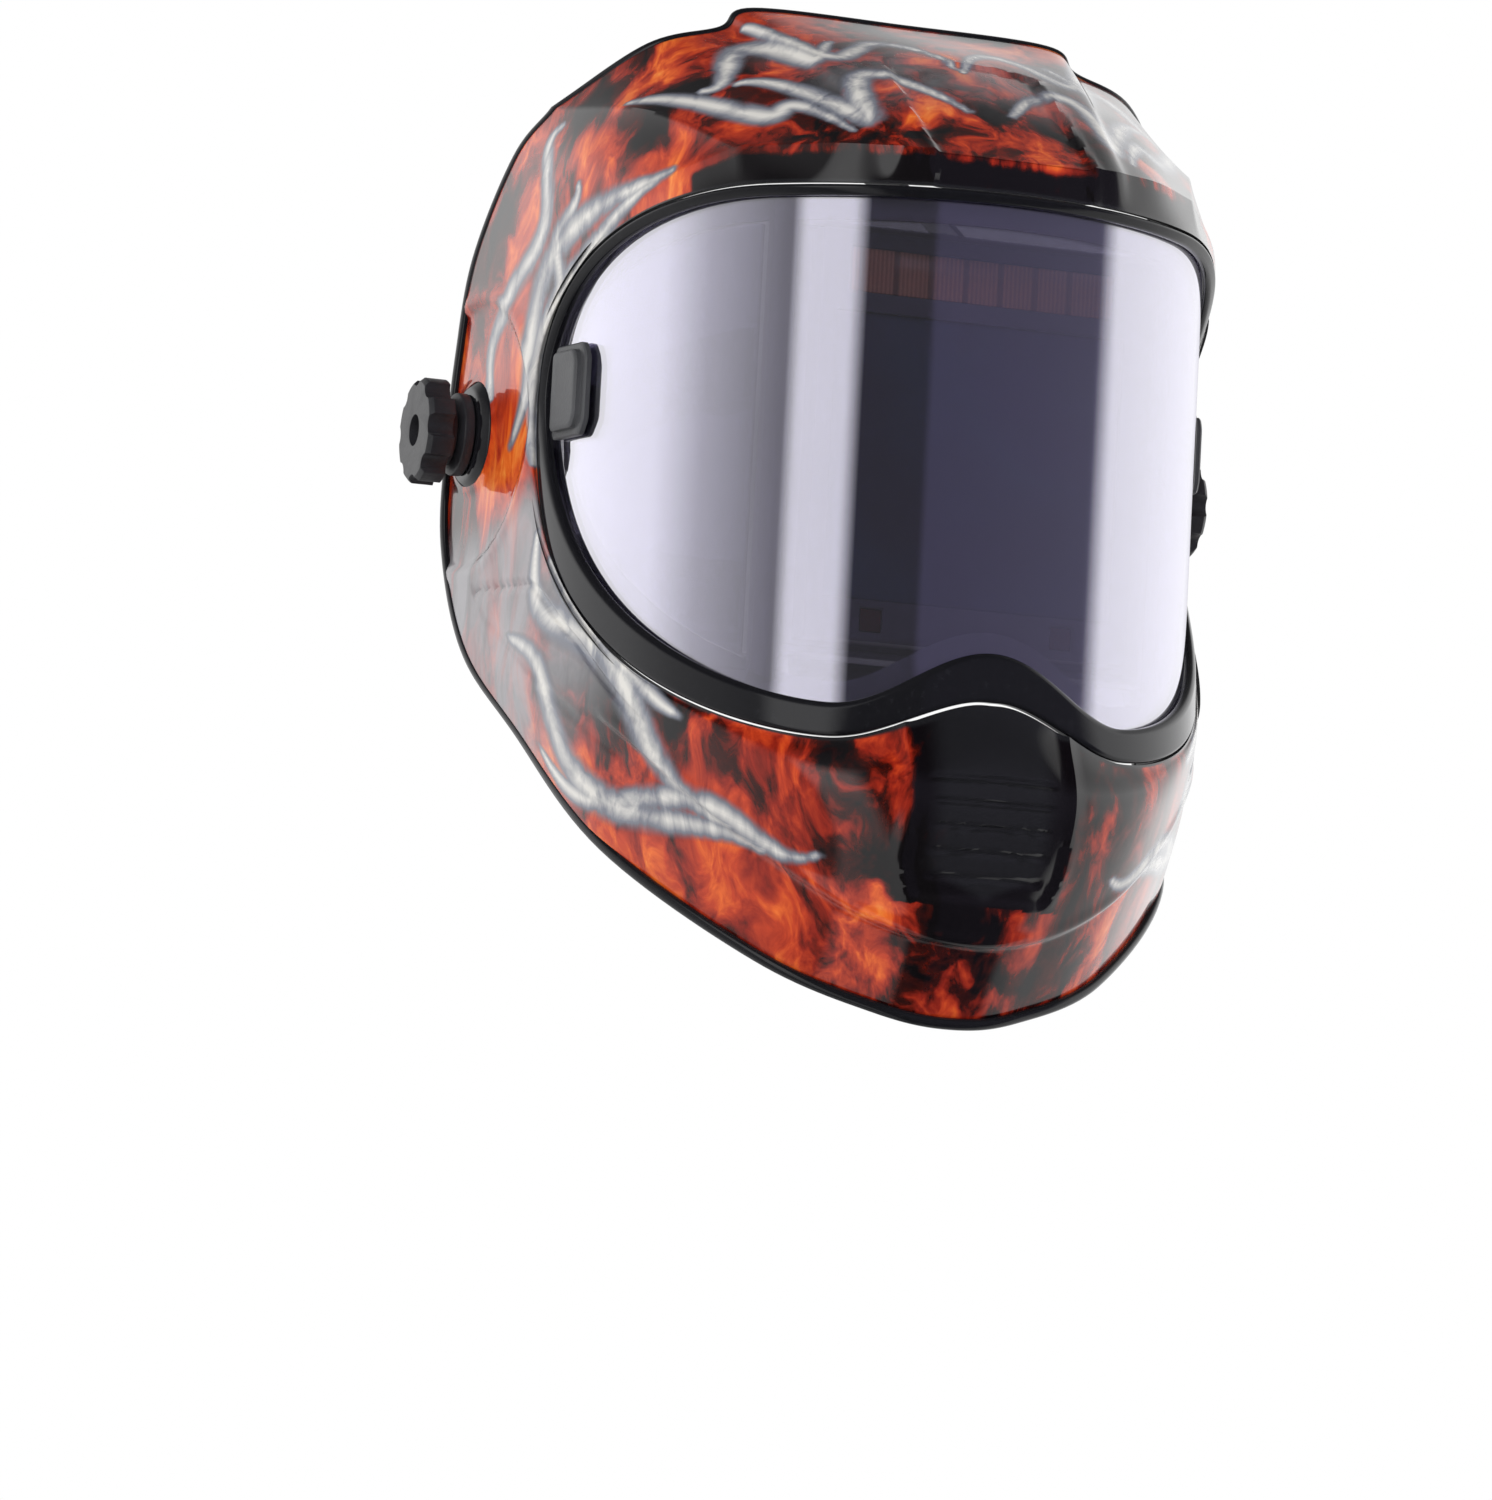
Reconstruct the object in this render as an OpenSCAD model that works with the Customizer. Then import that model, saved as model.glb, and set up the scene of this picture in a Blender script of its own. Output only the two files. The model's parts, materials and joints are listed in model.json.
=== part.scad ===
// Auto-darkening welding helmet: a tilting shell with a curved visor on a ratchet headgear.
// Origin: midpoint of the tilt axis. The face looks along -Y, +Z is up, +X is the wearer's left.

/* [Visor curve] */
// Half width of the visor's plan ellipse
lens_w = 110; // [106:0.5:114]
// Depth of the visor's plan ellipse
lens_d = 129; // [124:1:134]
// Y of the ellipse's centre
lens_y = -46; // [-50:1:-42]
// Thickness of the cover lens
lens_t = 1.2; // [1:0.1:2]

/* [Window outline] */
// Height of the window's flat top edge
top_z = 65.5; // [62:0.5:66]
// Angle at which the flat top ends
flat_a = 40; // [36:1:44]
// Height of the window's side points
side_z = 8; // [4:1:12]
// Angle of the window's side points
side_a = 88.5; // [86:0.5:89]
// Height of the window's lowest points
low_z = -97.7; // [-99:0.1:-94]
// Angle of the window's lowest points
nose_a = 26; // [24:1:28]
// Rise of the nose arch
nose_rise = 18.7; // [14:0.1:20]

/* [Shell] */
// Wall thickness of the shell
shell_t = 2; // [1.8:0.1:3]
// How far the bezel stands out from the visor
proud = 4; // [3:0.5:5]

/* [Tilt pivot] */
// Radius of the pivot stud
stud_r = 5; // [4:0.5:6]
// Outer face of the tension knobs
knob_x = 142.4; // [140:0.2:146]
// Radius of the tension knobs
knob_r = 18; // [16:0.5:20]

/* [Headgear] */
// Tilt of the headband, front edge up
band_tilt = 20; // [14:1:24]
// Outer half width of the front band
band_w = 82; // [80:0.5:83]
// Height of the front band
band_h = 26; // [22:1:28]
// Thickness of both bands
band_t = 2.4; // [2:0.1:2.4]

/* [Hidden] */
$fn = 48;
// Radial clearance of a running fit
run = 0.08;
// Clearance between faces that pass each other
gap = 0.3;

// ---- Visor curve: angle a is 0 at the front and grows towards the wearer's left ----
function lens_normal(a) = let (v = [lens_d * sin(a), -lens_w * cos(a), 0]) v / norm(v);
function lens_point(a, z, out) = [lens_w * sin(a), lens_y - lens_d * cos(a), z] + out * lens_normal(a);

// Window outline, half: p runs 0 top centre, 1 end of the flat top, 2 side, 3 lowest point, 4 nose arch
jaw_power = 1.2;
function outline(p) =
    p <= 1 ? [flat_a * p, top_z] :
    p <= 2 ? [flat_a + (side_a - flat_a) * sin(90 * (p - 1)),
              side_z + (top_z - side_z) * cos(90 * (p - 1))] :
    p <= 3 ? [nose_a + (side_a - nose_a) * pow(max(0, cos(90 * (p - 2))), jaw_power),
              side_z + (low_z - side_z) * pow(sin(90 * (p - 2)), jaw_power)] :
    [nose_a * (4 - p), low_z + nose_rise * (1 + cos(180 * (4 - p))) / 2];

// A point beside the window outline: w outward along the visor's face, out away from the face
step_p = 0.004;
function outline_point(p, out) = lens_point(outline(p)[0], outline(p)[1], out);
function beside(p, w, out) =
    let (n = lens_normal(outline(p)[0]),
         t = outline_point(min(4, p + step_p), 0) - outline_point(max(0, p - step_p), 0),
         b = cross(n, t))
    outline_point(p, out) + w * b / norm(b);

function smooth(x) = let (c = min(1, max(0, x))) c * c * (3 - 2 * c);
// Width of the bezel's face: narrow over the brow, wide along the jaw, widest at the nose
function bezel_w(p) =
    3.5 + 8.5 * smooth((p - 2) / 0.45) - smooth((p - 2.6) / 0.4) + 5 * smooth((p - 3.2) / 0.8);

// Height of the window's top and bottom edges at angle a, with a margin m all round
function side_limit(m) = side_a + m / 2.25;
function upper_z(a, m) = let (s = min(1, max(0, (abs(a) - flat_a) / (side_limit(m) - flat_a))))
    side_z + (top_z + m - side_z) * sqrt(1 - s * s);
function lower_z(a, m) = abs(a) <= nose_a ? low_z - m + nose_rise * (1 + cos(180 * abs(a) / nose_a)) / 2 :
    let (s = min(1, (abs(a) - nose_a) / (side_limit(m) - nose_a)), k = 1 / jaw_power)
    side_z + (low_z - m - side_z) * pow(max(0, 1 - pow(s, 2 * k)), 0.5 / k);

// ---- Closed solids from rows of points ----
function flat_list(rows) = [for (r = rows) each r];
// Rows are closed sections of m points each; the last row joins the first
module ring_solid(rows) {
    n = len(rows);
    m = len(rows[0]);
    polyhedron(points = flat_list(rows), convexity = 10, faces = [
        for (i = [0 : n - 1], j = [0 : m - 1], k = [0, 1])
            let (i2 = (i + 1) % n, j2 = (j + 1) % m,
                 a = i * m + j, b = i * m + j2, c = i2 * m + j2, d = i2 * m + j)
            k == 0 ? [a, b, c] : [a, c, d]]);
}
// Rows are closed sections of m points each, with a cap at both ends
module bar_solid(rows) {
    n = len(rows);
    m = len(rows[0]);
    polyhedron(points = flat_list(rows), convexity = 10, faces = [
        [for (j = [m - 1 : -1 : 0]) j],
        for (i = [0 : n - 2], j = [0 : m - 1], k = [0, 1])
            let (a = i * m + j, b = i * m + (j + 1) % m, c = (i + 1) * m + (j + 1) % m, d = (i + 1) * m + j)
            k == 0 ? [a, b, c] : [a, c, d],
        [for (j = [0 : m - 1]) (n - 1) * m + j]]);
}
function mirrored(q) = [-q[0], q[1], q[2]];
// Goes all the way round the window: s runs 0 to 8, and 4 to 8 is the wearer's right half
function round_beside(s, w, out) = s <= 4 ? beside(s, w, out) : mirrored(beside(8 - s, w, out));

// A sheet that follows the visor, from angle a0 to a1, inside the window outline plus a margin
module visor_sheet(a0, a1, margin, out0, out1, columns) {
    bar_solid([for (i = [0 : columns])
        let (c = (1 - cos(180 * i / columns)) / 2, a = a0 + (a1 - a0) * c,
             hi = upper_z(a, margin), lo = min(lower_z(a, margin), hi - 0.5))
        [for (q = [[lo, out0], [lo, out1], [hi, out1], [hi, out0]]) lens_point(a, q[0], q[1])]]);
}

// ---- Shell surface: a mesh of columns round the window and four rings from bezel to rear rim ----
// Each row: place on the window outline, brow and cheek ring, middle ring, rear rim
shell_rows = [
    [0,    [0, -178, 81],      [0, -126, 119],     [0, -67, 143.5]],
    [0.43, [32, -174, 81.5],   [42, -120, 117],    [53, -66, 143]],
    [0.58, [43, -168, 82],     [52, -117, 113],    [64, -65, 135.5]],
    [0.79, [58, -158, 82.5],   [74, -108, 107],    [87, -59, 128]],
    [1.06, [80, -134, 83],     [97, -90, 100],     [111, -35, 108]],
    [1.3,  [102, -105, 70],    [112, -66, 83],     [117, -15, 94]],
    [1.54, [112, -76, 51.5],   [117, -46, 57],     [122, 8, 62]],
    [1.8,  [116.5, -50.5, 28], [120, -28, 27],     [123, 18, 30]],
    [2.05, [117.5, -43.5, 2],  [122, -16, 0],      [124, 20, 0]],
    [2.2,  [117, -49.5, -22],  [121, -20, -30],    [124, 19, -35]],
    [2.34, [115, -64, -47],    [119, -38, -62],    [122, -4, -73]],
    [2.5,  [109, -89.5, -73],  [115, -64, -90],    [113.5, -38, -102]],
    [2.68, [95, -121.5, -98],  [99, -106, -122],   [99, -91, -143]],
    [2.95, [62, -163, -122],   [61, -150, -150],   [60, -134, -178]],
    [3.35, [28, -184, -128],   [26, -172, -160],   [25, -152, -193]],
    [4,    [0, -187, -125],    [0, -178, -162],    [0, -157, -197]]];
last_col = len(shell_rows) - 1;
crease_col = 4;
brow_cols = 5;
edge_gap = 0.5;
function edge_at(p) = beside(p, bezel_w(p) + edge_gap, proud);
function control(c, r) =
    c < 0 ? mirrored(control(-c, r)) :
    c > last_col ? mirrored(control(2 * last_col - c, r)) :
    r == 0 ? edge_at(shell_rows[c][0]) : shell_rows[c][r];

function spline(p0, p1, p2, p3, f) =
    0.5 * (2 * p1 + (p2 - p0) * f + (2 * p0 - 5 * p1 + 4 * p2 - p3) * f * f
           + (3 * p1 - p0 - 3 * p2 + p3) * f * f * f);
// Along one column, v from 0 at the bezel to 3 at the rear rim, with a sharp brow on the top columns
function along(c, v) =
    let (i = min(2, floor(v)), sharp = abs(c) <= brow_cols, p1 = control(c, i), p2 = control(c, i + 1),
         p0 = i == 0 || (i == 1 && sharp) ? 2 * p1 - p2 : control(c, i - 1),
         p3 = i == 2 || (i == 0 && sharp) ? 2 * p2 - p1 : control(c, i + 2))
    spline(p0, p1, p2, p3, v - i);
// Across the columns, u from 0 at the top centre, with a sharp edge between the top and side facets
function across(u, v) =
    let (i = floor(u), p1 = along(i, v), p2 = along(i + 1, v),
         p0 = i == crease_col ? 2 * p1 - p2 : along(i - 1, v),
         p3 = i + 1 == crease_col ? 2 * p2 - p1 : along(i + 2, v))
    spline(p0, p1, p2, p3, u - i);
// Place on the window outline that column u starts from
function row_place(c) =
    c < 0 ? -row_place(-c) :
    c > last_col ? 8 - row_place(2 * last_col - c) : shell_rows[c][0];
function place(u) =
    let (i = floor(u)) spline(row_place(i - 1), row_place(i), row_place(i + 1), row_place(i + 2), u - i);
// The first ring is drawn onto the bezel's own edge
function skin_point(u, v) =
    across(u, v) + (v < 1 ? (1 - v) * (1 - v) * (edge_at(place(u)) - across(u, 0)) : [0, 0, 0]);
slope = 0.04;
function skin_normal(u, v) =
    let (du = skin_point(min(last_col, u + slope), v) - skin_point(max(0, u - slope), v),
         dv = skin_point(u, min(3, v + slope)) - skin_point(u, max(0, v - slope)),
         n = cross(du, dv))
    n / norm(n);
// The wall stands square to the visor at the bezel and square to the skin elsewhere
function wall_direction(u, v) =
    let (f = smooth(2 * v), d = (1 - f) * lens_normal(outline(place(u))[0]) + f * skin_normal(u, v))
    d / norm(d);
function shell_column(u, steps) = [
    for (j = [0 : steps]) skin_point(u, 3 * j / steps),
    for (j = [steps : -1 : 0]) skin_point(u, 3 * j / steps) - shell_t * wall_direction(u, 3 * j / steps)];
// Mesh columns in each gap between the rows, and on half of the shell
column_steps = 4;
half_columns = last_col * column_steps;
// Rows for the half from top centre to chin, then the same rows mirrored on the way back
function both_halves(rows) = [for (k = [0 : 2 * half_columns - 1])
    k <= half_columns ? rows[k] : [for (q = rows[2 * half_columns - k]) mirrored(q)]];

// ---- Tilt pivot stack, from the head outward ----
arm_x = 104;
arm_t = 3;
stop_t = 3;
boss_in = 118;
boss_out = 124.8;
boss_r = 16;
washer_t = 5;
module along_x(x0, x1, r1, r2 = -1) {
    translate([x0, 0, 0]) rotate([0, 90, 0]) cylinder(h = x1 - x0, r1 = r1, r2 = r2 < 0 ? r1 : r2);
}
module both_sides() {
    children();
    mirror([1, 0, 0]) children();
}
module right_side() {
    mirror([1, 0, 0]) children();
}

module shell() {
    ring_steps = 12;
    columns = [for (k = [0 : half_columns]) shell_column(k / column_steps, ring_steps)];
    color([0.07, 0.06, 0.07]) difference() {
        union() {
            ring_solid(both_halves(columns));
            both_sides() along_x(boss_in, boss_out, boss_r);
        }
        both_sides() along_x(boss_in - 10, boss_out + 10, stud_r + run);
    }
}

// Section of the bezel across its width w, as [outward along the visor, out from it]
function bezel_section(w) =
    [[0, gap], [0, proud - 1], [1, proud], [w - 0.8, proud + 0.5], [w, proud - 0.2], [w, gap]];
module window_bezel() {
    color([0.02, 0.02, 0.025]) ring_solid(both_halves([for (k = [0 : half_columns])
        let (p = place(k / column_steps)) [for (q = bezel_section(bezel_w(p))) beside(p, q[0], q[1])]]));
}

latch_a = 80;
latch_size = [22, 31];
latch_stem_r = 3;
module at_latch() {
    n = lens_normal(latch_a);
    translate(lens_point(latch_a, side_z, 0)) rotate([0, 0, atan2(n[1], n[0])])
        rotate([0, 90, 0]) children();
}

module cover_lens() {
    lens_margin = 3;
    color([0.75, 0.76, 0.8, 0.4]) difference() {
        visor_sheet(-side_limit(lens_margin), side_limit(lens_margin), lens_margin, -lens_t, 0, 64);
        both_sides() at_latch() cylinder(h = 20, r = latch_stem_r + run, center = true);
    }
}

// The inner frame sits behind the cover lens and carries the filter in a rectangular sleeve
layer_out = -lens_t - 0.4;
layer_in = layer_out - 2;
rim_in = 7;
rib_a = [36, 41];
sleeve = [66.8, 2];
sleeve_z = [-78.3, 58.3];
sleeve_y = [-143, -127];
pin_y = -120.5;
pin_z = -84;
pin_r = 2;
module inner_frame() {
    sections = 80;
    color([0.2, 0.2, 0.22]) difference() {
        union() {
            ring_solid([for (i = [0 : sections - 1]) let (s = 8 * i / sections)
                [for (q = [[-rim_in, layer_in], [-rim_in, layer_out], [2, layer_out], [2, layer_in]])
                    round_beside(s, q[0], q[1])]]);
            both_sides() visor_sheet(rib_a[0], rib_a[1], -rim_in + 3, layer_in, layer_out, 4);
            difference() {
                translate([-sleeve[0] - sleeve[1], sleeve_y[0], sleeve_z[0] - sleeve[1]])
                    cube([2 * (sleeve[0] + sleeve[1]), sleeve_y[1] - sleeve_y[0],
                          sleeve_z[1] - sleeve_z[0] + 2 * sleeve[1]]);
                translate([-sleeve[0], sleeve_y[0] - 1, sleeve_z[0]])
                    cube([2 * sleeve[0], sleeve_y[1] - sleeve_y[0] + 2, sleeve_z[1] - sleeve_z[0]]);
            }
            both_sides() translate([50.3, -134, -88]) cube([3, 17, 88 + sleeve_z[0]]);
        }
        translate([0, pin_y, pin_z]) rotate([0, 90, 0]) cylinder(h = 120, r = pin_r + run, center = true);
        both_sides() at_latch() cylinder(h = 20, r = latch_stem_r + run, center = true);
    }
}

module side_window() {
    fit = 1.2;
    color([0.25, 0.26, 0.3, 0.5]) difference() {
        visor_sheet(rib_a[1] + fit, side_limit(-rim_in - fit), -rim_in - fit, layer_in, layer_out, 32);
        at_latch() cylinder(h = 30, r = latch_stem_r + 2, center = true);
    }
}
module side_window_left() { side_window(); }
module side_window_right() { right_side() side_window(); }

// ---- Auto-darkening filter ----
case_x = 66.5;
case_z = [-78, 58];
case_y = [-143, -125];
front_x = 56;
front_z = [-76, 56.5];
front_y = -153;
view_x = 50;
view_z = [-62.5, 30.5];
cell_x = 46;
cell_z = [36.7, 51.3];
sensor_x = 33;
sensor_z = -69;
tray_x = [41, 63];
tray_z = [34.2, 55.7];
back_y = -122.6;
module block(x, y, z) {
    translate([x[0], y[0], z[0]]) cube([x[1] - x[0], y[1] - y[0], z[1] - z[0]]);
}
module filter_housing() {
    color([0.09, 0.09, 0.1]) difference() {
        union() {
            block([-case_x, case_x], case_y, case_z);
            block([-front_x, front_x], [front_y, case_y[0] + 1], front_z);
        }
        block([-view_x, view_x], [front_y - 1, case_y[1] + 1], view_z);
        block([-cell_x, cell_x], [front_y - 1, front_y + 2.5], cell_z);
        for (s = [-1, 1]) block([s * sensor_x - 4, s * sensor_x + 4], [front_y - 1, front_y + 3],
            [sensor_z - 4, sensor_z + 4]);
        block([-64.5, 64.5], [case_y[0] + 1.5, case_y[1] + 1], [33.5, 56.5]);
        block([-53, 53], [case_y[1] - 1.4, case_y[1] + 1], [-65.5, 32.5]);
    }
}
module filter_glass() {
    color([0.1, 0.12, 0.16, 0.6])
        block([-view_x + 0.2, view_x - 0.2], [front_y + 1.5, front_y + 6.5],
            [view_z[0] + 0.2, view_z[1] - 0.2]);
}
module lcd_panel() {
    color([0.05, 0.06, 0.08, 0.7])
        block([-view_x + 0.4, view_x - 0.4], [front_y + 7, front_y + 12],
            [view_z[0] + 0.4, view_z[1] - 0.4]);
}
module solar_cell() {
    color([0.35, 0.18, 0.12])
        block([-cell_x + 0.2, cell_x - 0.2], [front_y + 0.8, front_y + 2.4],
            [cell_z[0] + 0.2, cell_z[1] - 0.2]);
}
module arc_sensors() {
    color([0.12, 0.05, 0.05]) for (s = [-1, 1])
        block([s * sensor_x - 3.7, s * sensor_x + 3.7], [front_y + 0.6, front_y + 2.8],
            [sensor_z - 3.7, sensor_z + 3.7]);
}
module inner_cover_lens() {
    color([0.8, 0.82, 0.85, 0.35]) block([-52.7, 52.7], [case_y[1] - 1.2, case_y[1] - 0.2], [-65.2, 32.2]);
}

// Controls on the wearer's side: [x, z, knob radius]
shade = [-26, 45, 9];
sensitivity = [-5, 45, 6.5];
delay = [12, 45, 6.5];
shaft_r = 3;
button_at = [28, 39];
button_r = 3.5;
switch_at = [28, 49.5];
board_y = [-131, -129.4];
module along_y(x, z, y0, y1, r) {
    translate([x, y0, z]) rotate([-90, 0, 0]) cylinder(h = y1 - y0, r = r);
}
module filter_back_cover() {
    color([0.12, 0.12, 0.13]) difference() {
        block([-case_x, case_x], [case_y[1] + 0.05, back_y], case_z);
        block([-52, 52], [case_y[1] - 1, back_y + 1], [-64.5, 31.5]);
        both_sides() block([tray_x[0] - gap, tray_x[1] + gap], [case_y[1] - 1, back_y + 1],
            [tray_z[0] - gap, tray_z[1] + gap]);
        for (k = [shade, sensitivity, delay]) along_y(k[0], k[1], case_y[1] - 1, back_y + 1, shaft_r + run);
        along_y(button_at[0], button_at[1], case_y[1] - 1, back_y + 1, button_r + run);
        block([switch_at[0] - 6.5, switch_at[0] + 6.5], [case_y[1] - 1, back_y + 1],
            [switch_at[1] - 2, switch_at[1] + 2]);
    }
}
module circuit_board() {
    color([0.05, 0.3, 0.14]) block([-37, 37], board_y, [34.5, 55.5]);
    color([0.05, 0.05, 0.06]) for (x = [-30, -14, 4, 20])
        block([x, x + 7], [board_y[0] - 1.5, board_y[0]], [41, 48]);
}
module control_knob(k) {
    skirt = 5.4;
    difference() {
        union() {
            along_y(k[0], k[1], board_y[1] + 0.4, back_y + 1, shaft_r);
            along_y(k[0], k[1], back_y + gap, back_y + gap + skirt, k[2]);
        }
        block([k[0] - 0.6, k[0] + 0.6], [back_y + skirt - 0.8, back_y + 10], [k[1] + 1, k[1] + k[2] + 1]);
    }
}
module shade_knob() { color([0.15, 0.15, 0.16]) control_knob(shade); }
module sensitivity_knob() { color([0.15, 0.15, 0.16]) control_knob(sensitivity); }
module delay_knob() { color([0.15, 0.15, 0.16]) control_knob(delay); }
module test_button() {
    color([0.7, 0.1, 0.08]) {
        along_y(button_at[0], button_at[1], -126.5, back_y + 2.4, button_r);
        along_y(button_at[0], button_at[1], -127.4, -125.7, button_r + 1.2);
    }
}
module range_switch() {
    color([0.75, 0.75, 0.72]) {
        block([switch_at[0] - 3, switch_at[0] + 3], [-126.6, back_y + 2],
            [switch_at[1] - 1.7, switch_at[1] + 1.7]);
        block([switch_at[0] - 5, switch_at[0] + 5], [-127.6, -125.6], [switch_at[1] - 3, switch_at[1] + 3]);
    }
}
cell_r = 10;
cell_t = 3.2;
tray_mid = [(tray_x[0] + tray_x[1]) / 2, (tray_z[0] + tray_z[1]) / 2];
module battery_tray_left() {
    color([0.18, 0.18, 0.19]) difference() {
        block(tray_x, [-139.5, back_y + 1], tray_z);
        along_y(tray_mid[0], tray_mid[1], -141, -139.5 + cell_t + 0.4, cell_r + 0.2);
        block([tray_x[0] + 2, tray_x[1] - 2], [-133, -126], [tray_z[0] + 2, tray_z[1] + 1]);
        block([tray_mid[0] - 5, tray_mid[0] + 5], [back_y - 0.6, back_y + 2],
            [tray_z[0] + 2, tray_z[0] + 5]);
    }
}
module battery_tray_right() { right_side() battery_tray_left(); }
module battery_cell_left() {
    color([0.75, 0.76, 0.78]) along_y(tray_mid[0], tray_mid[1], -139.4, -139.4 + cell_t, cell_r);
}
module battery_cell_right() { right_side() battery_cell_left(); }

module filter_retainer() {
    color([0.1, 0.1, 0.11]) union() {
        translate([0, pin_y, pin_z]) rotate([0, 90, 0]) cylinder(h = 107, r = pin_r, center = true);
        block([-49.9, 49.9], [pin_y - 1, pin_y + 1], [pin_z, -70]);
        block([-30, 30], [pin_y - 1, pin_y + 4], [-72, -70]);
    }
}

module lens_latch() {
    base_t = 3;
    grip_t = 5.5;
    color([0.05, 0.05, 0.055]) at_latch() union() {
        translate([0, 0, gap]) linear_extrude(base_t - gap)
            square([latch_size[1], latch_size[0]], center = true);
        translate([0, 0, base_t - 0.5]) linear_extrude(grip_t - base_t + 0.5)
            square([latch_size[1] - 5, latch_size[0] - 5], center = true);
        translate([0, 0, layer_in - 1]) cylinder(h = base_t - layer_in + 1, r = latch_stem_r);
    }
}
module lens_latch_left() { lens_latch(); }
module lens_latch_right() { right_side() lens_latch(); }

// ---- Headgear, in the plane of the tilted band ----
module in_band_plane() {
    rotate([-band_tilt, 0, 0]) children();
}
// U-shaped strip: half ellipse of half width w and depth d about y, with straight sides out to y_end
function u_arc(w, d, y, from, to, n) =
    [for (i = [0 : n]) let (a = from + (to - from) * i / n) [w * cos(a), y + d * sin(a)]];
module u_band(w, d, y, y_end, t, h) {
    side = d > 0 ? 1 : -1;
    translate([0, 0, -h / 2]) linear_extrude(h) polygon(concat(
        [[w, y_end]], u_arc(w, d, y, 0, 180, 36), [[-w, y_end]],
        [[-w + t, y_end]], u_arc(w - t, d - side * t, y, 180, 0, 36), [[w - t, y_end]]));
}
module arc_pad(w, d, y, t, h, spread) {
    side = d > 0 ? 1 : -1;
    translate([0, 0, -h / 2]) linear_extrude(h) polygon(concat(
        u_arc(w, d, y, 90 - spread, 90 + spread, 24),
        u_arc(w - t, d - side * t, y, 90 + spread, 90 - spread, 24)));
}
front_d = -74;
front_y0 = -12;
rear_w = band_w - band_t - gap;
rear_d = 76;
rear_y0 = 28;
module headband_front() {
    lug_x = band_w - band_t;
    color([0.06, 0.06, 0.065]) in_band_plane() union() {
        u_band(band_w, front_d, front_y0, 38, band_t, band_h);
        both_sides() block([lug_x, band_w], [5, 25], [band_h / 2 - 1, band_h / 2 + 14]);
    }
}
module side_arm() {
    pad = [24, 11];
    post = [14, 22, 9];
    color([0.08, 0.08, 0.085]) in_band_plane() difference() {
        union() {
            block([band_w, band_w + 3], [-pad[0], pad[0]], [-pad[1], pad[1]]);
            for (y0 = [post[0], -post[1]])
                block([band_w + 2, arm_x + 1], [y0, y0 + post[1] - post[0]], [-post[2], post[2]]);
            block([arm_x, arm_x + arm_t], [-pad[0], pad[0]], [-pad[1], pad[1]]);
        }
        along_x(arm_x - 1, arm_x + arm_t + 1, stud_r + run);
    }
}
module side_arm_left() { side_arm(); }
module side_arm_right() { right_side() side_arm(); }

stop_x = arm_x + arm_t + gap;
washer_x = stop_x + stop_t + gap;
outer_x = boss_out + gap;
hub_x = outer_x + washer_t + gap;
insert_end = 136;
module pivot_studs() {
    head_r = 9;
    head_t = 3;
    color([0.6, 0.6, 0.62]) both_sides() union() {
        along_x(arm_x - head_t, arm_x, head_r);
        along_x(arm_x - 0.5, insert_end + 1, stud_r);
    }
}
module friction_washers() {
    color([0.1, 0.1, 0.11]) both_sides() difference() {
        along_x(washer_x, boss_in - gap, 13);
        along_x(washer_x - 1, boss_in + 1, stud_r + run);
    }
}
module outer_washers() {
    color([0.04, 0.04, 0.045]) both_sides() difference() {
        union() {
            along_x(outer_x, outer_x + 3.5, 14);
            along_x(outer_x + 3.5, outer_x + washer_t, 14, 11.5);
        }
        along_x(outer_x - 1, outer_x + washer_t + 1, stud_r + run);
    }
}
module tilt_stop() {
    color([0.12, 0.12, 0.13]) right_side() difference() {
        union() {
            along_x(stop_x, stop_x + stop_t, 11);
            block([stop_x, stop_x + stop_t], [-4, 4], [0, 34]);
            block([stop_x - 4, stop_x + stop_t], [-4, 4], [31, 34]);
        }
        along_x(stop_x - 5, stop_x + stop_t + 5, stud_r + run);
    }
}
flutes = 8;
face_x = 133.4;
insert_r = 8;
module tension_knob() {
    color([0.04, 0.04, 0.045]) difference() {
        union() {
            along_x(hub_x, face_x + 1, 11);
            along_x(face_x, knob_x - 1.5, knob_r);
            along_x(knob_x - 1.5, knob_x, knob_r, knob_r - 1.5);
        }
        for (k = [0 : flutes - 1]) rotate([k * 360 / flutes, 0, 0])
            translate([0, 0, knob_r + 1.6]) along_x(face_x - 1, knob_x + 1, 4.4);
        along_x(hub_x - 1, insert_end + 0.2, insert_r + 0.02);
        along_x(insert_end, knob_x + 1, stud_r + 0.3);
    }
}
module tension_knob_left() { tension_knob(); }
module tension_knob_right() { right_side() tension_knob(); }
module knob_insert() {
    color([0.8, 0.65, 0.3]) difference() {
        along_x(hub_x + 0.2, insert_end, insert_r);
        along_x(hub_x - 1, insert_end + 1, stud_r + run);
    }
}
module knob_insert_left() { knob_insert(); }
module knob_insert_right() { right_side() knob_insert(); }

// ---- Crown straps: two halves that lap at the top, held by pegs in a row of holes ----
strap_y = [10, 28];
strap_t = 1.7;
strap_foot = 12;
strap_rise = 24;
lap_a = 98;
peg_x = [-7, 7];
peg_r = 2.4;
// Straight up the side from strap_foot to strap_rise, then over the head as a quarter ellipse
module strap(height) {
    w = band_w + run;
    rise = height - strap_rise;
    translate([0, strap_y[1], 0]) rotate([90, 0, 0]) linear_extrude(strap_y[1] - strap_y[0]) polygon(concat(
        [[w, strap_foot], [w + strap_t, strap_foot]],
        u_arc(w + strap_t, rise + strap_t, strap_rise, 0, lap_a, 36),
        u_arc(w, rise, strap_rise, lap_a, 0, 36)));
}
strap_mid = (strap_y[0] + strap_y[1]) / 2;
strap_h = 112;
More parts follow.
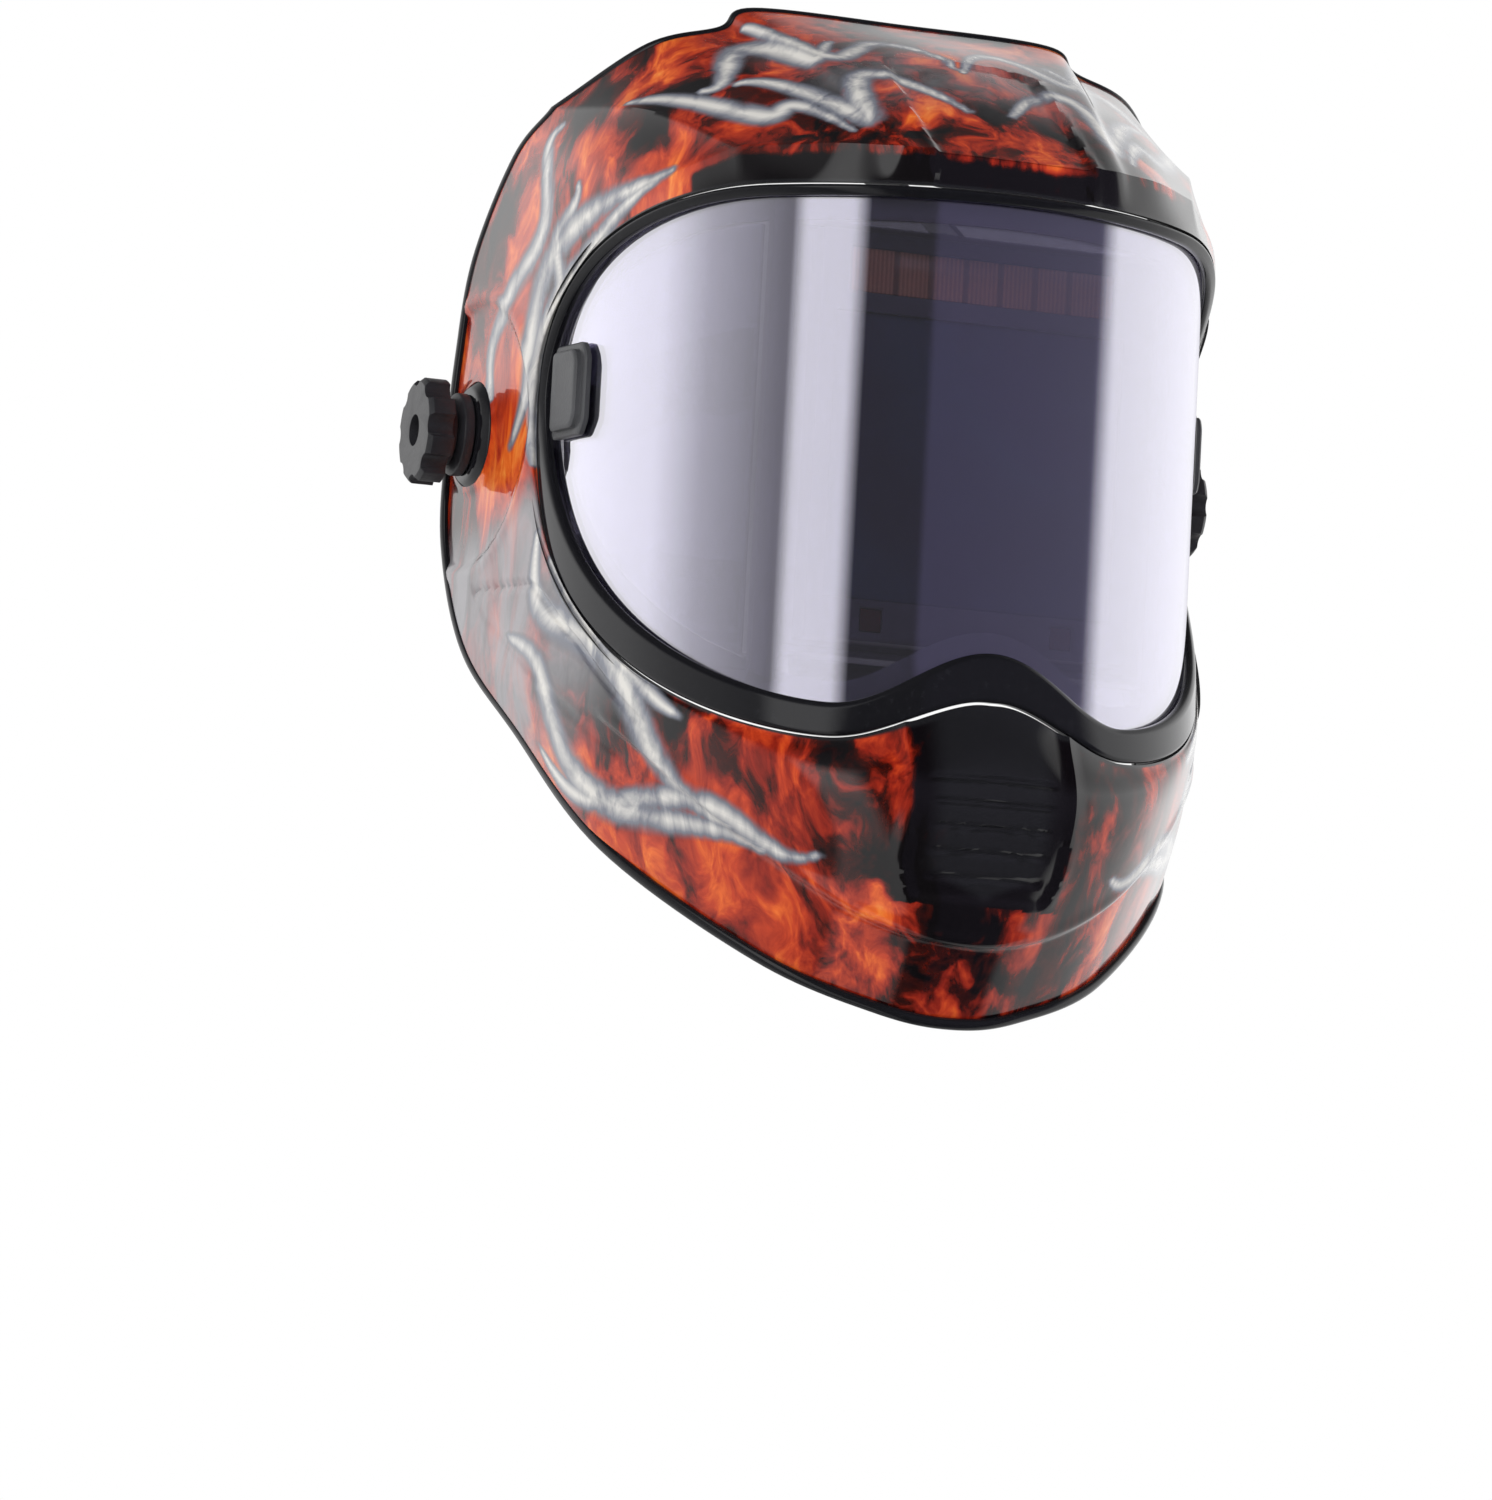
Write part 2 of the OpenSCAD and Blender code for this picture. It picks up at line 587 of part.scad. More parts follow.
// Angles from the top at which the left strap has spare peg holes
spare_holes = [13, 22, 31];
module peg_holes() {
    for (x = peg_x) translate([x, strap_mid, strap_h - 12]) cylinder(h = 30, r = peg_r + run);
}
module crown_strap_left() {
    color([0.07, 0.07, 0.075]) difference() {
        strap(strap_h);
        peg_holes();
        for (a = spare_holes) rotate([0, a, 0]) translate([0, strap_mid, 80]) cylinder(h = 50, r = peg_r);
    }
}
module crown_strap_right() {
    color([0.07, 0.07, 0.075]) difference() {
        right_side() strap(strap_h + strap_t + gap);
        peg_holes();
    }
}
module crown_pegs() {
    color([0.1, 0.1, 0.11]) for (x = peg_x) translate([x, strap_mid, 0]) union() {
        translate([0, 0, strap_h - 2.5]) cylinder(h = 8, r = peg_r);
        translate([0, 0, strap_h + 2 * strap_t + gap + 0.1]) cylinder(h = 1.6, r = 4.5);
        translate([0, 0, strap_h - 3.5]) cylinder(h = 1.4, r = 4);
    }
}

module brow_pad() {
    color([0.13, 0.13, 0.14]) in_band_plane()
        arc_pad(band_w - band_t - gap, front_d + band_t + gap, front_y0, 9, 30, 52);
}

// ---- Rear of the headgear: slides fore and aft as the ratchet winds ----
rear_back = rear_y0 + rear_d;
module rear_band() {
    color([0.06, 0.06, 0.065]) in_band_plane() u_band(rear_w, rear_d, rear_y0, -2, band_t, 20);
}
module rear_pad() {
    color([0.13, 0.13, 0.14]) in_band_plane()
        arc_pad(rear_w - band_t - gap, rear_d - band_t - gap, rear_y0, 8, 30, 36);
}
pinion_r = 6;
axle_r = 4;
case_back = rear_back + 11;
screw_x = 24;
module ratchet_housing() {
    ends = 22;
    color([0.08, 0.08, 0.085]) in_band_plane() difference() {
        hull() for (s = [-1, 1]) along_y(s * ends, 0, rear_back + 0.2, case_back, 15);
        along_y(0, 0, rear_back - 1, rear_back + 8, pinion_r + 1.5);
        along_y(0, 0, rear_back, case_back + 1, axle_r + run);
        for (s = [-1, 1]) along_y(s * screw_x, 0, rear_back - 1, case_back + 1, 1.6 + run);
        for (s = [-1, 1]) along_y(s * screw_x, 0, case_back - 2.5, case_back + 1, 3.4);
    }
}
teeth = 10;
module ratchet_pinion() {
    color([0.7, 0.7, 0.68]) in_band_plane() difference() {
        union() {
            along_y(0, 0, rear_back + 0.8, rear_back + 7.5, pinion_r);
            along_y(0, 0, rear_back + 7, case_back + 5, axle_r);
        }
        for (k = [0 : teeth - 1]) rotate([0, k * 360 / teeth, 0])
            along_y(pinion_r + 0.6, 0, rear_back, rear_back + 7, 1.4);
    }
}
module ratchet_knob() {
    lobes = 12;
    wheel_r = 21;
    color([0.05, 0.05, 0.055]) in_band_plane() difference() {
        union() {
            along_y(0, 0, case_back + 0.4, case_back + 11, wheel_r);
            translate([0, case_back + 11, 0]) rotate([-90, 0, 0])
                cylinder(h = 2, r1 = wheel_r, r2 = wheel_r - 3);
        }
        for (k = [0 : lobes - 1]) rotate([0, k * 360 / lobes, 0])
            along_y(wheel_r + 1.6, 0, case_back, case_back + 14, 3.6);
        along_y(0, 0, case_back, case_back + 5.1, axle_r + 0.02);
    }
}
module ratchet_screws() {
    color([0.7, 0.7, 0.72]) in_band_plane() for (s = [-1, 1]) union() {
        along_y(s * screw_x, 0, rear_back + 0.5, case_back - 2, 1.6);
        along_y(s * screw_x, 0, case_back - 2.4, case_back - 0.6, 3.1);
    }
}

shell();
window_bezel();
cover_lens();
inner_frame();
side_window_left();
side_window_right();
filter_housing();
filter_back_cover();
filter_glass();
lcd_panel();
solar_cell();
arc_sensors();
circuit_board();
inner_cover_lens();
lens_latch_left();
lens_latch_right();
shade_knob();
sensitivity_knob();
delay_knob();
test_button();
range_switch();
battery_tray_left();
battery_tray_right();
battery_cell_left();
battery_cell_right();
filter_retainer();
headband_front();
side_arm_left();
side_arm_right();
pivot_studs();
friction_washers();
outer_washers();
tilt_stop();
tension_knob_left();
tension_knob_right();
knob_insert_left();
knob_insert_right();
crown_strap_left();
crown_strap_right();
crown_pegs();
brow_pad();
rear_band();
rear_pad();
ratchet_housing();
ratchet_knob();
ratchet_pinion();
ratchet_screws();
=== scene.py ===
"""The looks of the welding helmet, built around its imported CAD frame. Shapes are in millimetres."""

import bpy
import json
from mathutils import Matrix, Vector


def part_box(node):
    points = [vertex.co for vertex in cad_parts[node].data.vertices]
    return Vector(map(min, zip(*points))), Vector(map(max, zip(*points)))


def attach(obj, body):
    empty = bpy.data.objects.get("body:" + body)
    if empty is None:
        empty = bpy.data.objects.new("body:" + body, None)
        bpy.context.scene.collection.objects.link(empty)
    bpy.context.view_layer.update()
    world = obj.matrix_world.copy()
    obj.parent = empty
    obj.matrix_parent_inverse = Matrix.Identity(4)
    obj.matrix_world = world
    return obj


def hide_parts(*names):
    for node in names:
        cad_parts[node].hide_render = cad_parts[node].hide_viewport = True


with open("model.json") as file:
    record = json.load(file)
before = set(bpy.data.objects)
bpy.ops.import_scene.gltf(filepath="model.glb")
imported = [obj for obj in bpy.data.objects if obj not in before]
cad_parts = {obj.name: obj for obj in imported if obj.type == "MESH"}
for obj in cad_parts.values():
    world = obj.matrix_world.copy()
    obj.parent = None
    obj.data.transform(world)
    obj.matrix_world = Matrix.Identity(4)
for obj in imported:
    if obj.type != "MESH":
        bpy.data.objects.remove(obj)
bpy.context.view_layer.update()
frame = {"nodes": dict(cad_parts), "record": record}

import json
import math

import bmesh
import bpy
import numpy as np
from mathutils import Matrix, Vector

MM = 0.001
BLACK = (0.012, 0.012, 0.014)

# ---- Visor curve and shell surface, in millimetres, by the same rules as the CAD ----
LENS_W, LENS_D, LENS_Y, LENS_T = 110, 129, -46, 1.2
TOP_Z, FLAT_A, SIDE_Z, SIDE_A = 65.5, 40, 8, 88.5
LOW_Z, NOSE_A, NOSE_RISE, JAW_POWER = -97.7, 26, 18.7, 1.2
SHELL_T, PROUD, EDGE_GAP = 2, 4, 0.5
# Millimetres along the lens for one degree of its angle, at the sides
ANGLE_MM = 2.25

# Place on the window outline, then the brow and cheek ring, the middle ring and the rear rim
SHELL_ROWS = [
    (0, (0, -178, 81), (0, -126, 119), (0, -67, 143.5)),
    (0.43, (32, -174, 81.5), (42, -120, 117), (53, -66, 143)),
    (0.58, (43, -168, 82), (52, -117, 113), (64, -65, 135.5)),
    (0.79, (58, -158, 82.5), (74, -108, 107), (87, -59, 128)),
    (1.06, (80, -134, 83), (97, -90, 100), (111, -35, 108)),
    (1.3, (102, -105, 70), (112, -66, 83), (117, -15, 94)),
    (1.54, (112, -76, 51.5), (117, -46, 57), (122, 8, 62)),
    (1.8, (116.5, -50.5, 28), (120, -28, 27), (123, 18, 30)),
    (2.05, (117.5, -43.5, 2), (122, -16, 0), (124, 20, 0)),
    (2.2, (117, -49.5, -22), (121, -20, -30), (124, 19, -35)),
    (2.34, (115, -64, -47), (119, -38, -62), (122, -4, -73)),
    (2.5, (109, -89.5, -73), (115, -64, -90), (113.5, -38, -102)),
    (2.68, (95, -121.5, -98), (99, -106, -122), (99, -91, -143)),
    (2.95, (62, -163, -122), (61, -150, -150), (60, -134, -178)),
    (3.35, (28, -184, -128), (26, -172, -160), (25, -152, -193)),
    (4, (0, -187, -125), (0, -178, -162), (0, -157, -197)),
]
LAST = len(SHELL_ROWS) - 1
CREASE, BROW_COLS = 4, 5


def unit(v):
    return v / np.linalg.norm(v, axis=-1, keepdims=True)


def smooth(x):
    c = np.clip(x, 0, 1)
    return c * c * (3 - 2 * c)


def lens_normal(a):
    a = np.radians(a)
    return unit(np.stack([LENS_D * np.sin(a), -LENS_W * np.cos(a), 0 * a], -1))


def lens_point(a, z, out=0):
    r = np.radians(a)
    base = np.stack([LENS_W * np.sin(r), LENS_Y - LENS_D * np.cos(r), z + 0 * r], -1)
    return base + np.asarray(out)[..., None] * lens_normal(a)


def outline(p):
    """Angle and height of the window's edge; p is 0 top centre, 1 flat's end, 2 side, 3 lowest, 4 nose."""
    p = np.asarray(p, float)
    side, jaw = np.radians(90 * (p - 1)), np.radians(90 * (np.clip(p, 2, 3) - 2))
    cos_j, sin_j = np.maximum(np.cos(jaw), 0) ** JAW_POWER, np.maximum(np.sin(jaw), 0) ** JAW_POWER
    a = np.select(
        [p <= 1, p <= 2, p <= 3],
        [FLAT_A * p, FLAT_A + (SIDE_A - FLAT_A) * np.sin(side), NOSE_A + (SIDE_A - NOSE_A) * cos_j],
        NOSE_A * (4 - p),
    )
    z = np.select(
        [p <= 1, p <= 2, p <= 3],
        [TOP_Z + 0 * p, SIDE_Z + (TOP_Z - SIDE_Z) * np.cos(side), SIDE_Z + (LOW_Z - SIDE_Z) * sin_j],
        LOW_Z + NOSE_RISE * (1 + np.cos(np.pi * (4 - p))) / 2,
    )
    return a, z


def outline_point(p, out=0):
    a, z = outline(p)
    return lens_point(a, z, out)


def beside(p, w, out):
    """A point beside the window's edge: w outward along the visor's face, out away from the face."""
    p = np.asarray(p, float)
    t = outline_point(np.minimum(4, p + 0.004)) - outline_point(np.maximum(0, p - 0.004))
    b = unit(np.cross(lens_normal(outline(p)[0]), t))
    return outline_point(p, out) + np.asarray(w)[..., None] * b


def bezel_w(p):
    return 3.5 + 8.5 * smooth((p - 2) / 0.45) - smooth((p - 2.6) / 0.4) + 5 * smooth((p - 3.2) / 0.8)


def edge_at(p):
    return beside(p, bezel_w(p) + EDGE_GAP, PROUD)


MIRROR = np.array([-1, 1, 1])


def spline(p0, p1, p2, p3, f):
    return 0.5 * (2 * p1 + (p2 - p0) * f + (2 * p0 - 5 * p1 + 4 * p2 - p3) * f * f
                  + (3 * p1 - p0 - 3 * p2 + p3) * f ** 3)


def row_place(c):
    if c < 0:
        return -row_place(-c)
    return 8 - row_place(2 * LAST - c) if c > LAST else SHELL_ROWS[c][0]


def control(c):
    """The four control points of column c, mirrored past both ends."""
    if c < 0:
        return control(-c) * MIRROR
    if c > LAST:
        return control(2 * LAST - c) * MIRROR
    return np.array([edge_at(SHELL_ROWS[c][0]), *SHELL_ROWS[c][1:]], float)


def along(c, v):
    """Points of column c at each v, from 0 at the bezel to 3 at the rear rim."""
    k, sharp = control(c), abs(c) <= BROW_COLS
    i = np.minimum(2, np.floor(v)).astype(int)
    before, after = k[np.maximum(i - 1, 0)], k[np.minimum(i + 2, 3)]
    p1, p2 = k[i], k[i + 1]
    first, last = (i == 0) | ((i == 1) & sharp), (i == 2) | ((i == 0) & sharp)
    p0 = np.where(first[:, None], 2 * p1 - p2, before)
    p3 = np.where(last[:, None], 2 * p2 - p1, after)
    return spline(p0, p1, p2, p3, (v - i)[:, None])


def across(u, v):
    """Points at every u, from 0 at the top centre to LAST at the chin, by every v."""
    columns = np.array([along(c, v) for c in range(-1, LAST + 3)])
    i = np.minimum(LAST, np.floor(u)).astype(int)
    p1, p2 = columns[i + 1], columns[i + 2]
    p0 = np.where((i == CREASE)[:, None, None], 2 * p1 - p2, columns[i])
    p3 = np.where((i + 1 == CREASE)[:, None, None], 2 * p2 - p1, columns[i + 3])
    return spline(p0, p1, p2, p3, (u - i)[:, None, None])


def place(u):
    known = np.array([row_place(c) for c in range(-1, LAST + 3)], float)
    i = np.minimum(LAST, np.floor(u)).astype(int)
    return spline(known[i], known[i + 1], known[i + 2], known[i + 3], u - i)


def skin(u, v):
    fade = np.maximum(0, 1 - v)[None, :, None] ** 2
    return across(u, v) + fade * (edge_at(place(u))[:, None] - across(u, np.zeros(1)))


def skin_normal(u, v, step=0.03):
    du = skin(np.minimum(LAST, u + step), v) - skin(np.maximum(0, u - step), v)
    dv = skin(u, np.minimum(3, v + step)) - skin(u, np.maximum(0, v - step))
    return unit(np.cross(du, dv))


# ---- Meshes ----
BEVEL_STEPS, BEVEL_ANGLE = 3, 35
# The CAD meshes are in metres
SAME_PLACE, SAME_PLANE = 1e-6, 0.6


def new_piece(name, points, faces, materials, body, slot, sharp=40.0, bevel=0.0, replaces=()):
    """A mesh object from points in millimetres, riding on a body."""
    mesh = bpy.data.meshes.new(name)
    mesh.from_pydata((np.asarray(points, float) * MM).tolist(), [], faces)
    mesh.validate()
    return as_piece(name, mesh, materials, body, sharp, bevel, replaces)


def as_piece(name, mesh, materials, body, sharp=40.0, bevel=0.0, replaces=()):
    piece = bpy.data.objects.new(name, mesh)
    bpy.context.scene.collection.objects.link(piece)
    mesh.materials.clear()
    for material in materials if isinstance(materials, (list, tuple)) else [materials]:
        mesh.materials.append(material)
    if bevel:
        rounded = piece.modifiers.new("edge", "BEVEL")
        rounded.width, rounded.segments = bevel * MM, BEVEL_STEPS
        rounded.limit_method, rounded.angle_limit = "ANGLE", math.radians(BEVEL_ANGLE)
        apply_modifiers(piece)
    smooth_by_angle(piece.data, sharp)
    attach(piece, body)
    if replaces:
        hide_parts(*replaces)
    return piece


def apply_modifiers(piece):
    graph = bpy.context.evaluated_depsgraph_get()
    mesh = bpy.data.meshes.new_from_object(piece.evaluated_get(graph))
    piece.modifiers.clear()
    piece.data = mesh


def smooth_by_angle(mesh, degrees):
    mesh.shade_smooth()
    mesh.set_sharp_from_angle(angle=math.radians(degrees))


def body_of(node):
    return next(name for name, nodes in BODIES.items() if node in nodes)


def refined(node, material, bevel):
    """The CAD node's own shape with its flat faces joined up and its edges rounded by bevel, if any."""
    source = frame["nodes"][node]
    form = bmesh.new()
    form.from_mesh(source.data)
    bmesh.ops.remove_doubles(form, verts=form.verts, dist=SAME_PLACE)
    flat = math.radians(SAME_PLANE)
    bmesh.ops.dissolve_limit(form, angle_limit=flat, verts=form.verts, edges=form.edges)
    mesh = bpy.data.meshes.new(node + "_look")
    form.to_mesh(mesh)
    form.free()
    return as_piece(node + "_look", mesh, material, body_of(node), bevel=bevel, replaces=(node,))


BODIES = frame["record"]["behaviour"]["bodies"]


def grid_faces(rows, columns, close_rows, close_columns):
    """Quads over a grid of points, row by row; either direction may join its own start."""
    faces = []
    for i in range(rows if close_rows else rows - 1):
        for j in range(columns if close_columns else columns - 1):
            a, b = i * columns + j, i * columns + (j + 1) % columns
            c, d = ((i + 1) % rows) * columns + (j + 1) % columns, ((i + 1) % rows) * columns + j
            faces.append((a, b, c, d))
    return faces


def swept_ring(sections):
    """A closed ring whose sections are all closed outlines with the same number of points."""
    rows, columns = sections.shape[:2]
    return sections.reshape(-1, 3), grid_faces(rows, columns, True, True)


def both_halves(half):
    """Rows from the top centre to the chin, then their mirror image back up."""
    return np.concatenate([half, half[-2:0:-1] * MIRROR])


def rounded_outline(corners, radius, steps=4):
    """A closed outline with each corner replaced by a small curve of about that radius."""
    corners = [np.array(c, float) for c in corners]
    points = []
    for k, here in enumerate(corners):
        to_last, to_next = corners[k - 1] - here, corners[(k + 1) % len(corners)] - here
        reach = min(radius, 0.45 * np.linalg.norm(to_last), 0.45 * np.linalg.norm(to_next))
        start, end = here + reach * unit(to_last), here + reach * unit(to_next)
        for t in np.linspace(0, 1, steps + 1):
            points.append((1 - t) ** 2 * start + 2 * t * (1 - t) * here + t * t * end)
    return np.array(points)


# ---- Shader helpers ----
class Nodes:
    """Short calls for building the node tree of a material or of the world."""

    def __init__(self, owner):
        owner.use_nodes = True
        self.owner = owner
        self.tree = owner.node_tree
        self.tree.nodes.clear()
        self.space = self.add("ShaderNodeTexCoord")
        self.coords = self.space.outputs["Object"]

    def show(self, shader, output="ShaderNodeOutputMaterial"):
        """Join a shader to the tree's output."""
        self.link(shader.outputs[0], self.add(output).inputs["Surface"])
        return self.owner

    def add(self, kind, **settings):
        node = self.tree.nodes.new(kind)
        for key, value in settings.items():
            setattr(node, key, value)
        return node

    def link(self, source, socket):
        if isinstance(source, (int, float, tuple)):
            socket.default_value = source
        else:
            self.tree.links.new(source, socket)

    def math(self, operation, a, b=0.0, c=0.0, clamp=False):
        node = self.add("ShaderNodeMath", operation=operation, use_clamp=clamp)
        for value, socket in zip((a, b, c), node.inputs):
            self.link(value, socket)
        return node.outputs[0]

    def vector(self, operation, a, b=(0, 0, 0), scale=1.0):
        node = self.add("ShaderNodeVectorMath", operation=operation)
        self.link(a, node.inputs[0])
        self.link(b, node.inputs[1])
        if operation == "SCALE":
            self.link(scale, node.inputs["Scale"])
        return node.outputs[0]

    def noise(self, vector, scale, detail=4.0, rough=0.5, colour=False):
        node = self.add("ShaderNodeTexNoise")
        self.link(vector, node.inputs["Vector"])
        for key, value in (("Scale", scale), ("Detail", detail), ("Roughness", rough)):
            node.inputs[key].default_value = value
        return node.outputs["Color" if colour else "Fac"]

    def voronoi(self, vector, scale, feature="F1"):
        node = self.add("ShaderNodeTexVoronoi", feature=feature)
        self.link(vector, node.inputs["Vector"])
        node.inputs["Scale"].default_value = scale
        return node.outputs["Distance"]

    def wave(self, vector, scale, distortion=0.0, direction="X"):
        node = self.add("ShaderNodeTexWave", bands_direction=direction)
        self.link(vector, node.inputs["Vector"])
        node.inputs["Scale"].default_value = scale
        node.inputs["Distortion"].default_value = distortion
        return node.outputs["Fac"]

    def ramp(self, value, stops):
        node = self.add("ShaderNodeValToRGB")
        points = node.color_ramp.elements
        while len(points) < len(stops):
            points.new(0.5)
        for point, (place_at, colour) in zip(points, stops):
            point.position = place_at
            point.color = (*colour, 1) if isinstance(colour, tuple) else (colour, colour, colour, 1)
        self.link(value, node.inputs["Fac"])
        return node.outputs["Color"]

    def mix(self, factor, a, b, blend="MIX"):
        node = self.add("ShaderNodeMix", data_type="RGBA", blend_type=blend)
        self.link(factor, node.inputs["Factor"])
        for value, key in ((a, "A"), (b, "B")):
            sockets = [s for s in node.inputs if s.name == key and s.type == "RGBA"]
            self.link((*value, 1) if isinstance(value, tuple) else value, sockets[0])
        return [s for s in node.outputs if s.type == "RGBA"][0]

    def attribute(self, name):
        return self.add("ShaderNodeAttribute", attribute_name=name).outputs["Fac"]

    def bump(self, height, distance, strength):
        node = self.add("ShaderNodeBump")
        node.inputs["Strength"].default_value = strength
        node.inputs["Distance"].default_value = distance
        self.link(height, node.inputs["Height"])
        return node.outputs[0]

    def surface(self, **inputs):
        shader = self.add("ShaderNodeBsdfPrincipled")
        for key, value in inputs.items():
            socket = shader.inputs[key.replace("_", " ")]
            if isinstance(value, tuple) and len(value) == 3 and socket.type == "RGBA":
                value = (*value, 1)
            self.link(value, socket)
        return self.show(shader)


def new_nodes(name):
    return Nodes(bpy.data.materials.new(name))


def moulded(name, colour, rough, grain=0.00006, grain_scale=1400):
    """Moulded plastic: fine pitted grain, slow changes of sheen, and dust-pale rubbed patches."""
    n = new_nodes(name)
    cloud = n.noise(n.coords, 22, 5, 0.6)
    pits = n.voronoi(n.coords, grain_scale)
    scuffs = n.noise(n.vector("MULTIPLY", n.coords, (1, 1, 7)), 180, 6, 0.7)
    worn = tuple(min(1.0, c * 1.7 + 0.012) for c in colour)
    tone = n.mix(n.ramp(cloud, [(0.35, 0.0), (0.75, 0.55)]), colour, worn)
    scuffed = n.math("MULTIPLY_ADD", scuffs, 0.12, rough - 0.13)
    roughness = n.math("ADD", n.math("MULTIPLY", cloud, 0.16), scuffed)
    return n.surface(Base_Color=tone, Roughness=roughness,
                     Normal=n.bump(n.math("MULTIPLY_ADD", scuffs, 0.25, pits), grain, 0.6))


def brushed(name, colour, rough=0.28, axis=(1, 1, 14)):
    """Plated or turned metal with fine drawn lines and slight stains."""
    n = new_nodes(name)
    lines = n.noise(n.vector("MULTIPLY", n.coords, axis), 260, 5, 0.6)
    stain = n.noise(n.coords, 60, 4)
    dull = tuple(c * 0.72 for c in colour)
    tone = n.mix(n.ramp(stain, [(0.4, 0.0), (0.8, 1.0)]), colour, dull)
    roughness = n.math("MULTIPLY_ADD", lines, 0.22, rough - 0.08)
    return n.surface(Base_Color=tone, Metallic=1.0, Roughness=roughness, Normal=n.bump(lines, 0.00003, 0.5))


# ---- Materials ----
def pushed(n, vector, colour, reach):
    """A vector moved about by a colour noise."""
    away = n.vector("SUBTRACT", colour, (0.5, 0.5, 0.5))
    return n.vector("ADD", vector, n.vector("SCALE", away, scale=reach))


def shell_paint():
    """Gloss black with a procedural fire print, cloudy grey smoke and pale wisps under a clear coat; each
    wisp runs from dark blue-grey at its edges to pale in its middle, a painted shade and highlight that makes
    it look rounded.
    """
    n = new_nodes("shell_paint_look")
    lift = n.vector("MULTIPLY", n.coords, (1, 1, 0.5))
    swirl = n.noise(lift, 13, 3, 0.55, colour=True)
    warped = pushed(n, lift, swirl, 0.07)
    curl = n.noise(warped, 60, 2, 0.5, colour=True)
    licked = pushed(n, warped, curl, 0.014)
    body = n.noise(licked, 27, 7, 0.62)
    fold = n.math("ABSOLUTE", n.math("SUBTRACT", n.noise(licked, 36, 4, 0.55), 0.5))
    thread = n.math("SUBTRACT", 1.0, n.math("MULTIPLY", fold, 11.0), clamp=True)
    heat = n.math("ADD", n.math("MULTIPLY_ADD", n.attribute("fire"), 0.3, body), -0.25)
    glow = n.math("ADD", heat, n.math("MULTIPLY", n.math("MULTIPLY", thread, heat), 0.2))
    fire = n.ramp(glow, [(0.4, (0.004, 0.003, 0.004)), (0.46, (0.05, 0.004, 0.002)),
                         (0.52, (0.28, 0.016, 0.006)), (0.59, (0.55, 0.05, 0.012)),
                         (0.67, (0.8, 0.14, 0.02)), (0.8, (0.95, 0.35, 0.06))])
    ash = n.noise(n.vector("MULTIPLY", warped, (1.6, 1.6, 0.8)), 22, 6, 0.6)
    smoke = n.math("MULTIPLY", n.attribute("smoke"), n.ramp(ash, [(0.3, 0.1), (0.56, 1.0)]))
    hazed = n.mix(n.math("MULTIPLY", smoke, 0.85), fire, (0.33, 0.32, 0.34))
    fine = n.noise(n.vector("MULTIPLY", licked, (1.3, 1.3, 0.6)), 75, 5, 0.6)
    streak = n.math("MULTIPLY", n.attribute("streak"), n.ramp(fine, [(0.3, 0.5), (0.58, 1.0)]))
    # Wisp colour: pale print in the middle, with painted shade darkening towards the edges so each wisp looks
    # like a rounded ribbon
    wisp_print_and_painted_rounding = n.ramp(streak, [(0.0, (0.03, 0.035, 0.05)), (0.45, (0.2, 0.21, 0.25)), (0.9, (0.72, 0.7, 0.66))])
    colour = n.mix(n.ramp(streak, [(0.06, 0.0), (0.4, 1.0)]), hazed, wisp_print_and_painted_rounding)
    colour = n.mix(n.attribute("plain"), colour, BLACK)
    specks = n.noise(n.coords, 900, 2, 0.6)
    rough = n.math("MULTIPLY_ADD", n.noise(n.coords, 35, 4), 0.05, 0.2)
    peel = n.bump(n.noise(n.coords, 320, 2), 0.00012, 0.35)
    return n.surface(Base_Color=colour, Roughness=n.math("MULTIPLY_ADD", specks, 0.05, rough), IOR=1.5,
                     Specular_IOR_Level=0.12, Coat_Weight=1.0, Coat_Roughness=0.03, Normal=peel)


def gloss_black():
    n = new_nodes("bezel_black_look")
    dust = n.noise(n.coords, 420, 5, 0.7)
    hairs = n.noise(n.vector("MULTIPLY", n.coords, (1, 1, 9)), 500, 3, 0.6)
    tone = n.mix(n.ramp(dust, [(0.55, 0.0), (0.8, 0.35)]), (0.008, 0.008, 0.01), (0.03, 0.03, 0.035))
    return n.surface(Base_Color=tone, Roughness=n.math("MULTIPLY_ADD", dust, 0.1, 0.06),
                     Specular_IOR_Level=0.3, Coat_Weight=0.25, Coat_Roughness=0.03,
                     Normal=n.bump(hairs, 0.00002, 0.3))


def visor_coat(name, tint, mirror, facing, rough):
    """A thin clear sheet with a partly mirrored face: what is behind shows through, a little darker."""
    n = new_nodes(name)
    haze = n.noise(n.coords, 9, 3)
    wipe = n.noise(n.vector("MULTIPLY", n.coords, (1, 1, 16)), 160, 4, 0.6)
    see = n.add("ShaderNodeBsdfTransparent")
    patches = n.ramp(haze, [(0.3, 0.0), (0.7, 1.0)])
    n.link(n.mix(patches, tint, tuple(c * 0.94 for c in tint)), see.inputs["Color"])
    gloss = n.add("ShaderNodeBsdfGlossy")
    gloss.inputs["Color"].default_value = (0.92, 0.91, 0.98, 1)
    n.link(n.math("MULTIPLY_ADD", wipe, rough, rough * 0.5), gloss.inputs["Roughness"])
    layer = n.add("ShaderNodeLayerWeight")
    layer.inputs["Blend"].default_value = facing
    share = n.math("MULTIPLY_ADD", layer.outputs["Facing"], 1.0 - mirror, mirror, clamp=True)
    both = n.add("ShaderNodeMixShader")
    for source, socket in ((share, 0), (see.outputs[0], 1), (gloss.outputs[0], 2)):
        n.link(source, both.inputs[socket])
    return n.show(both)


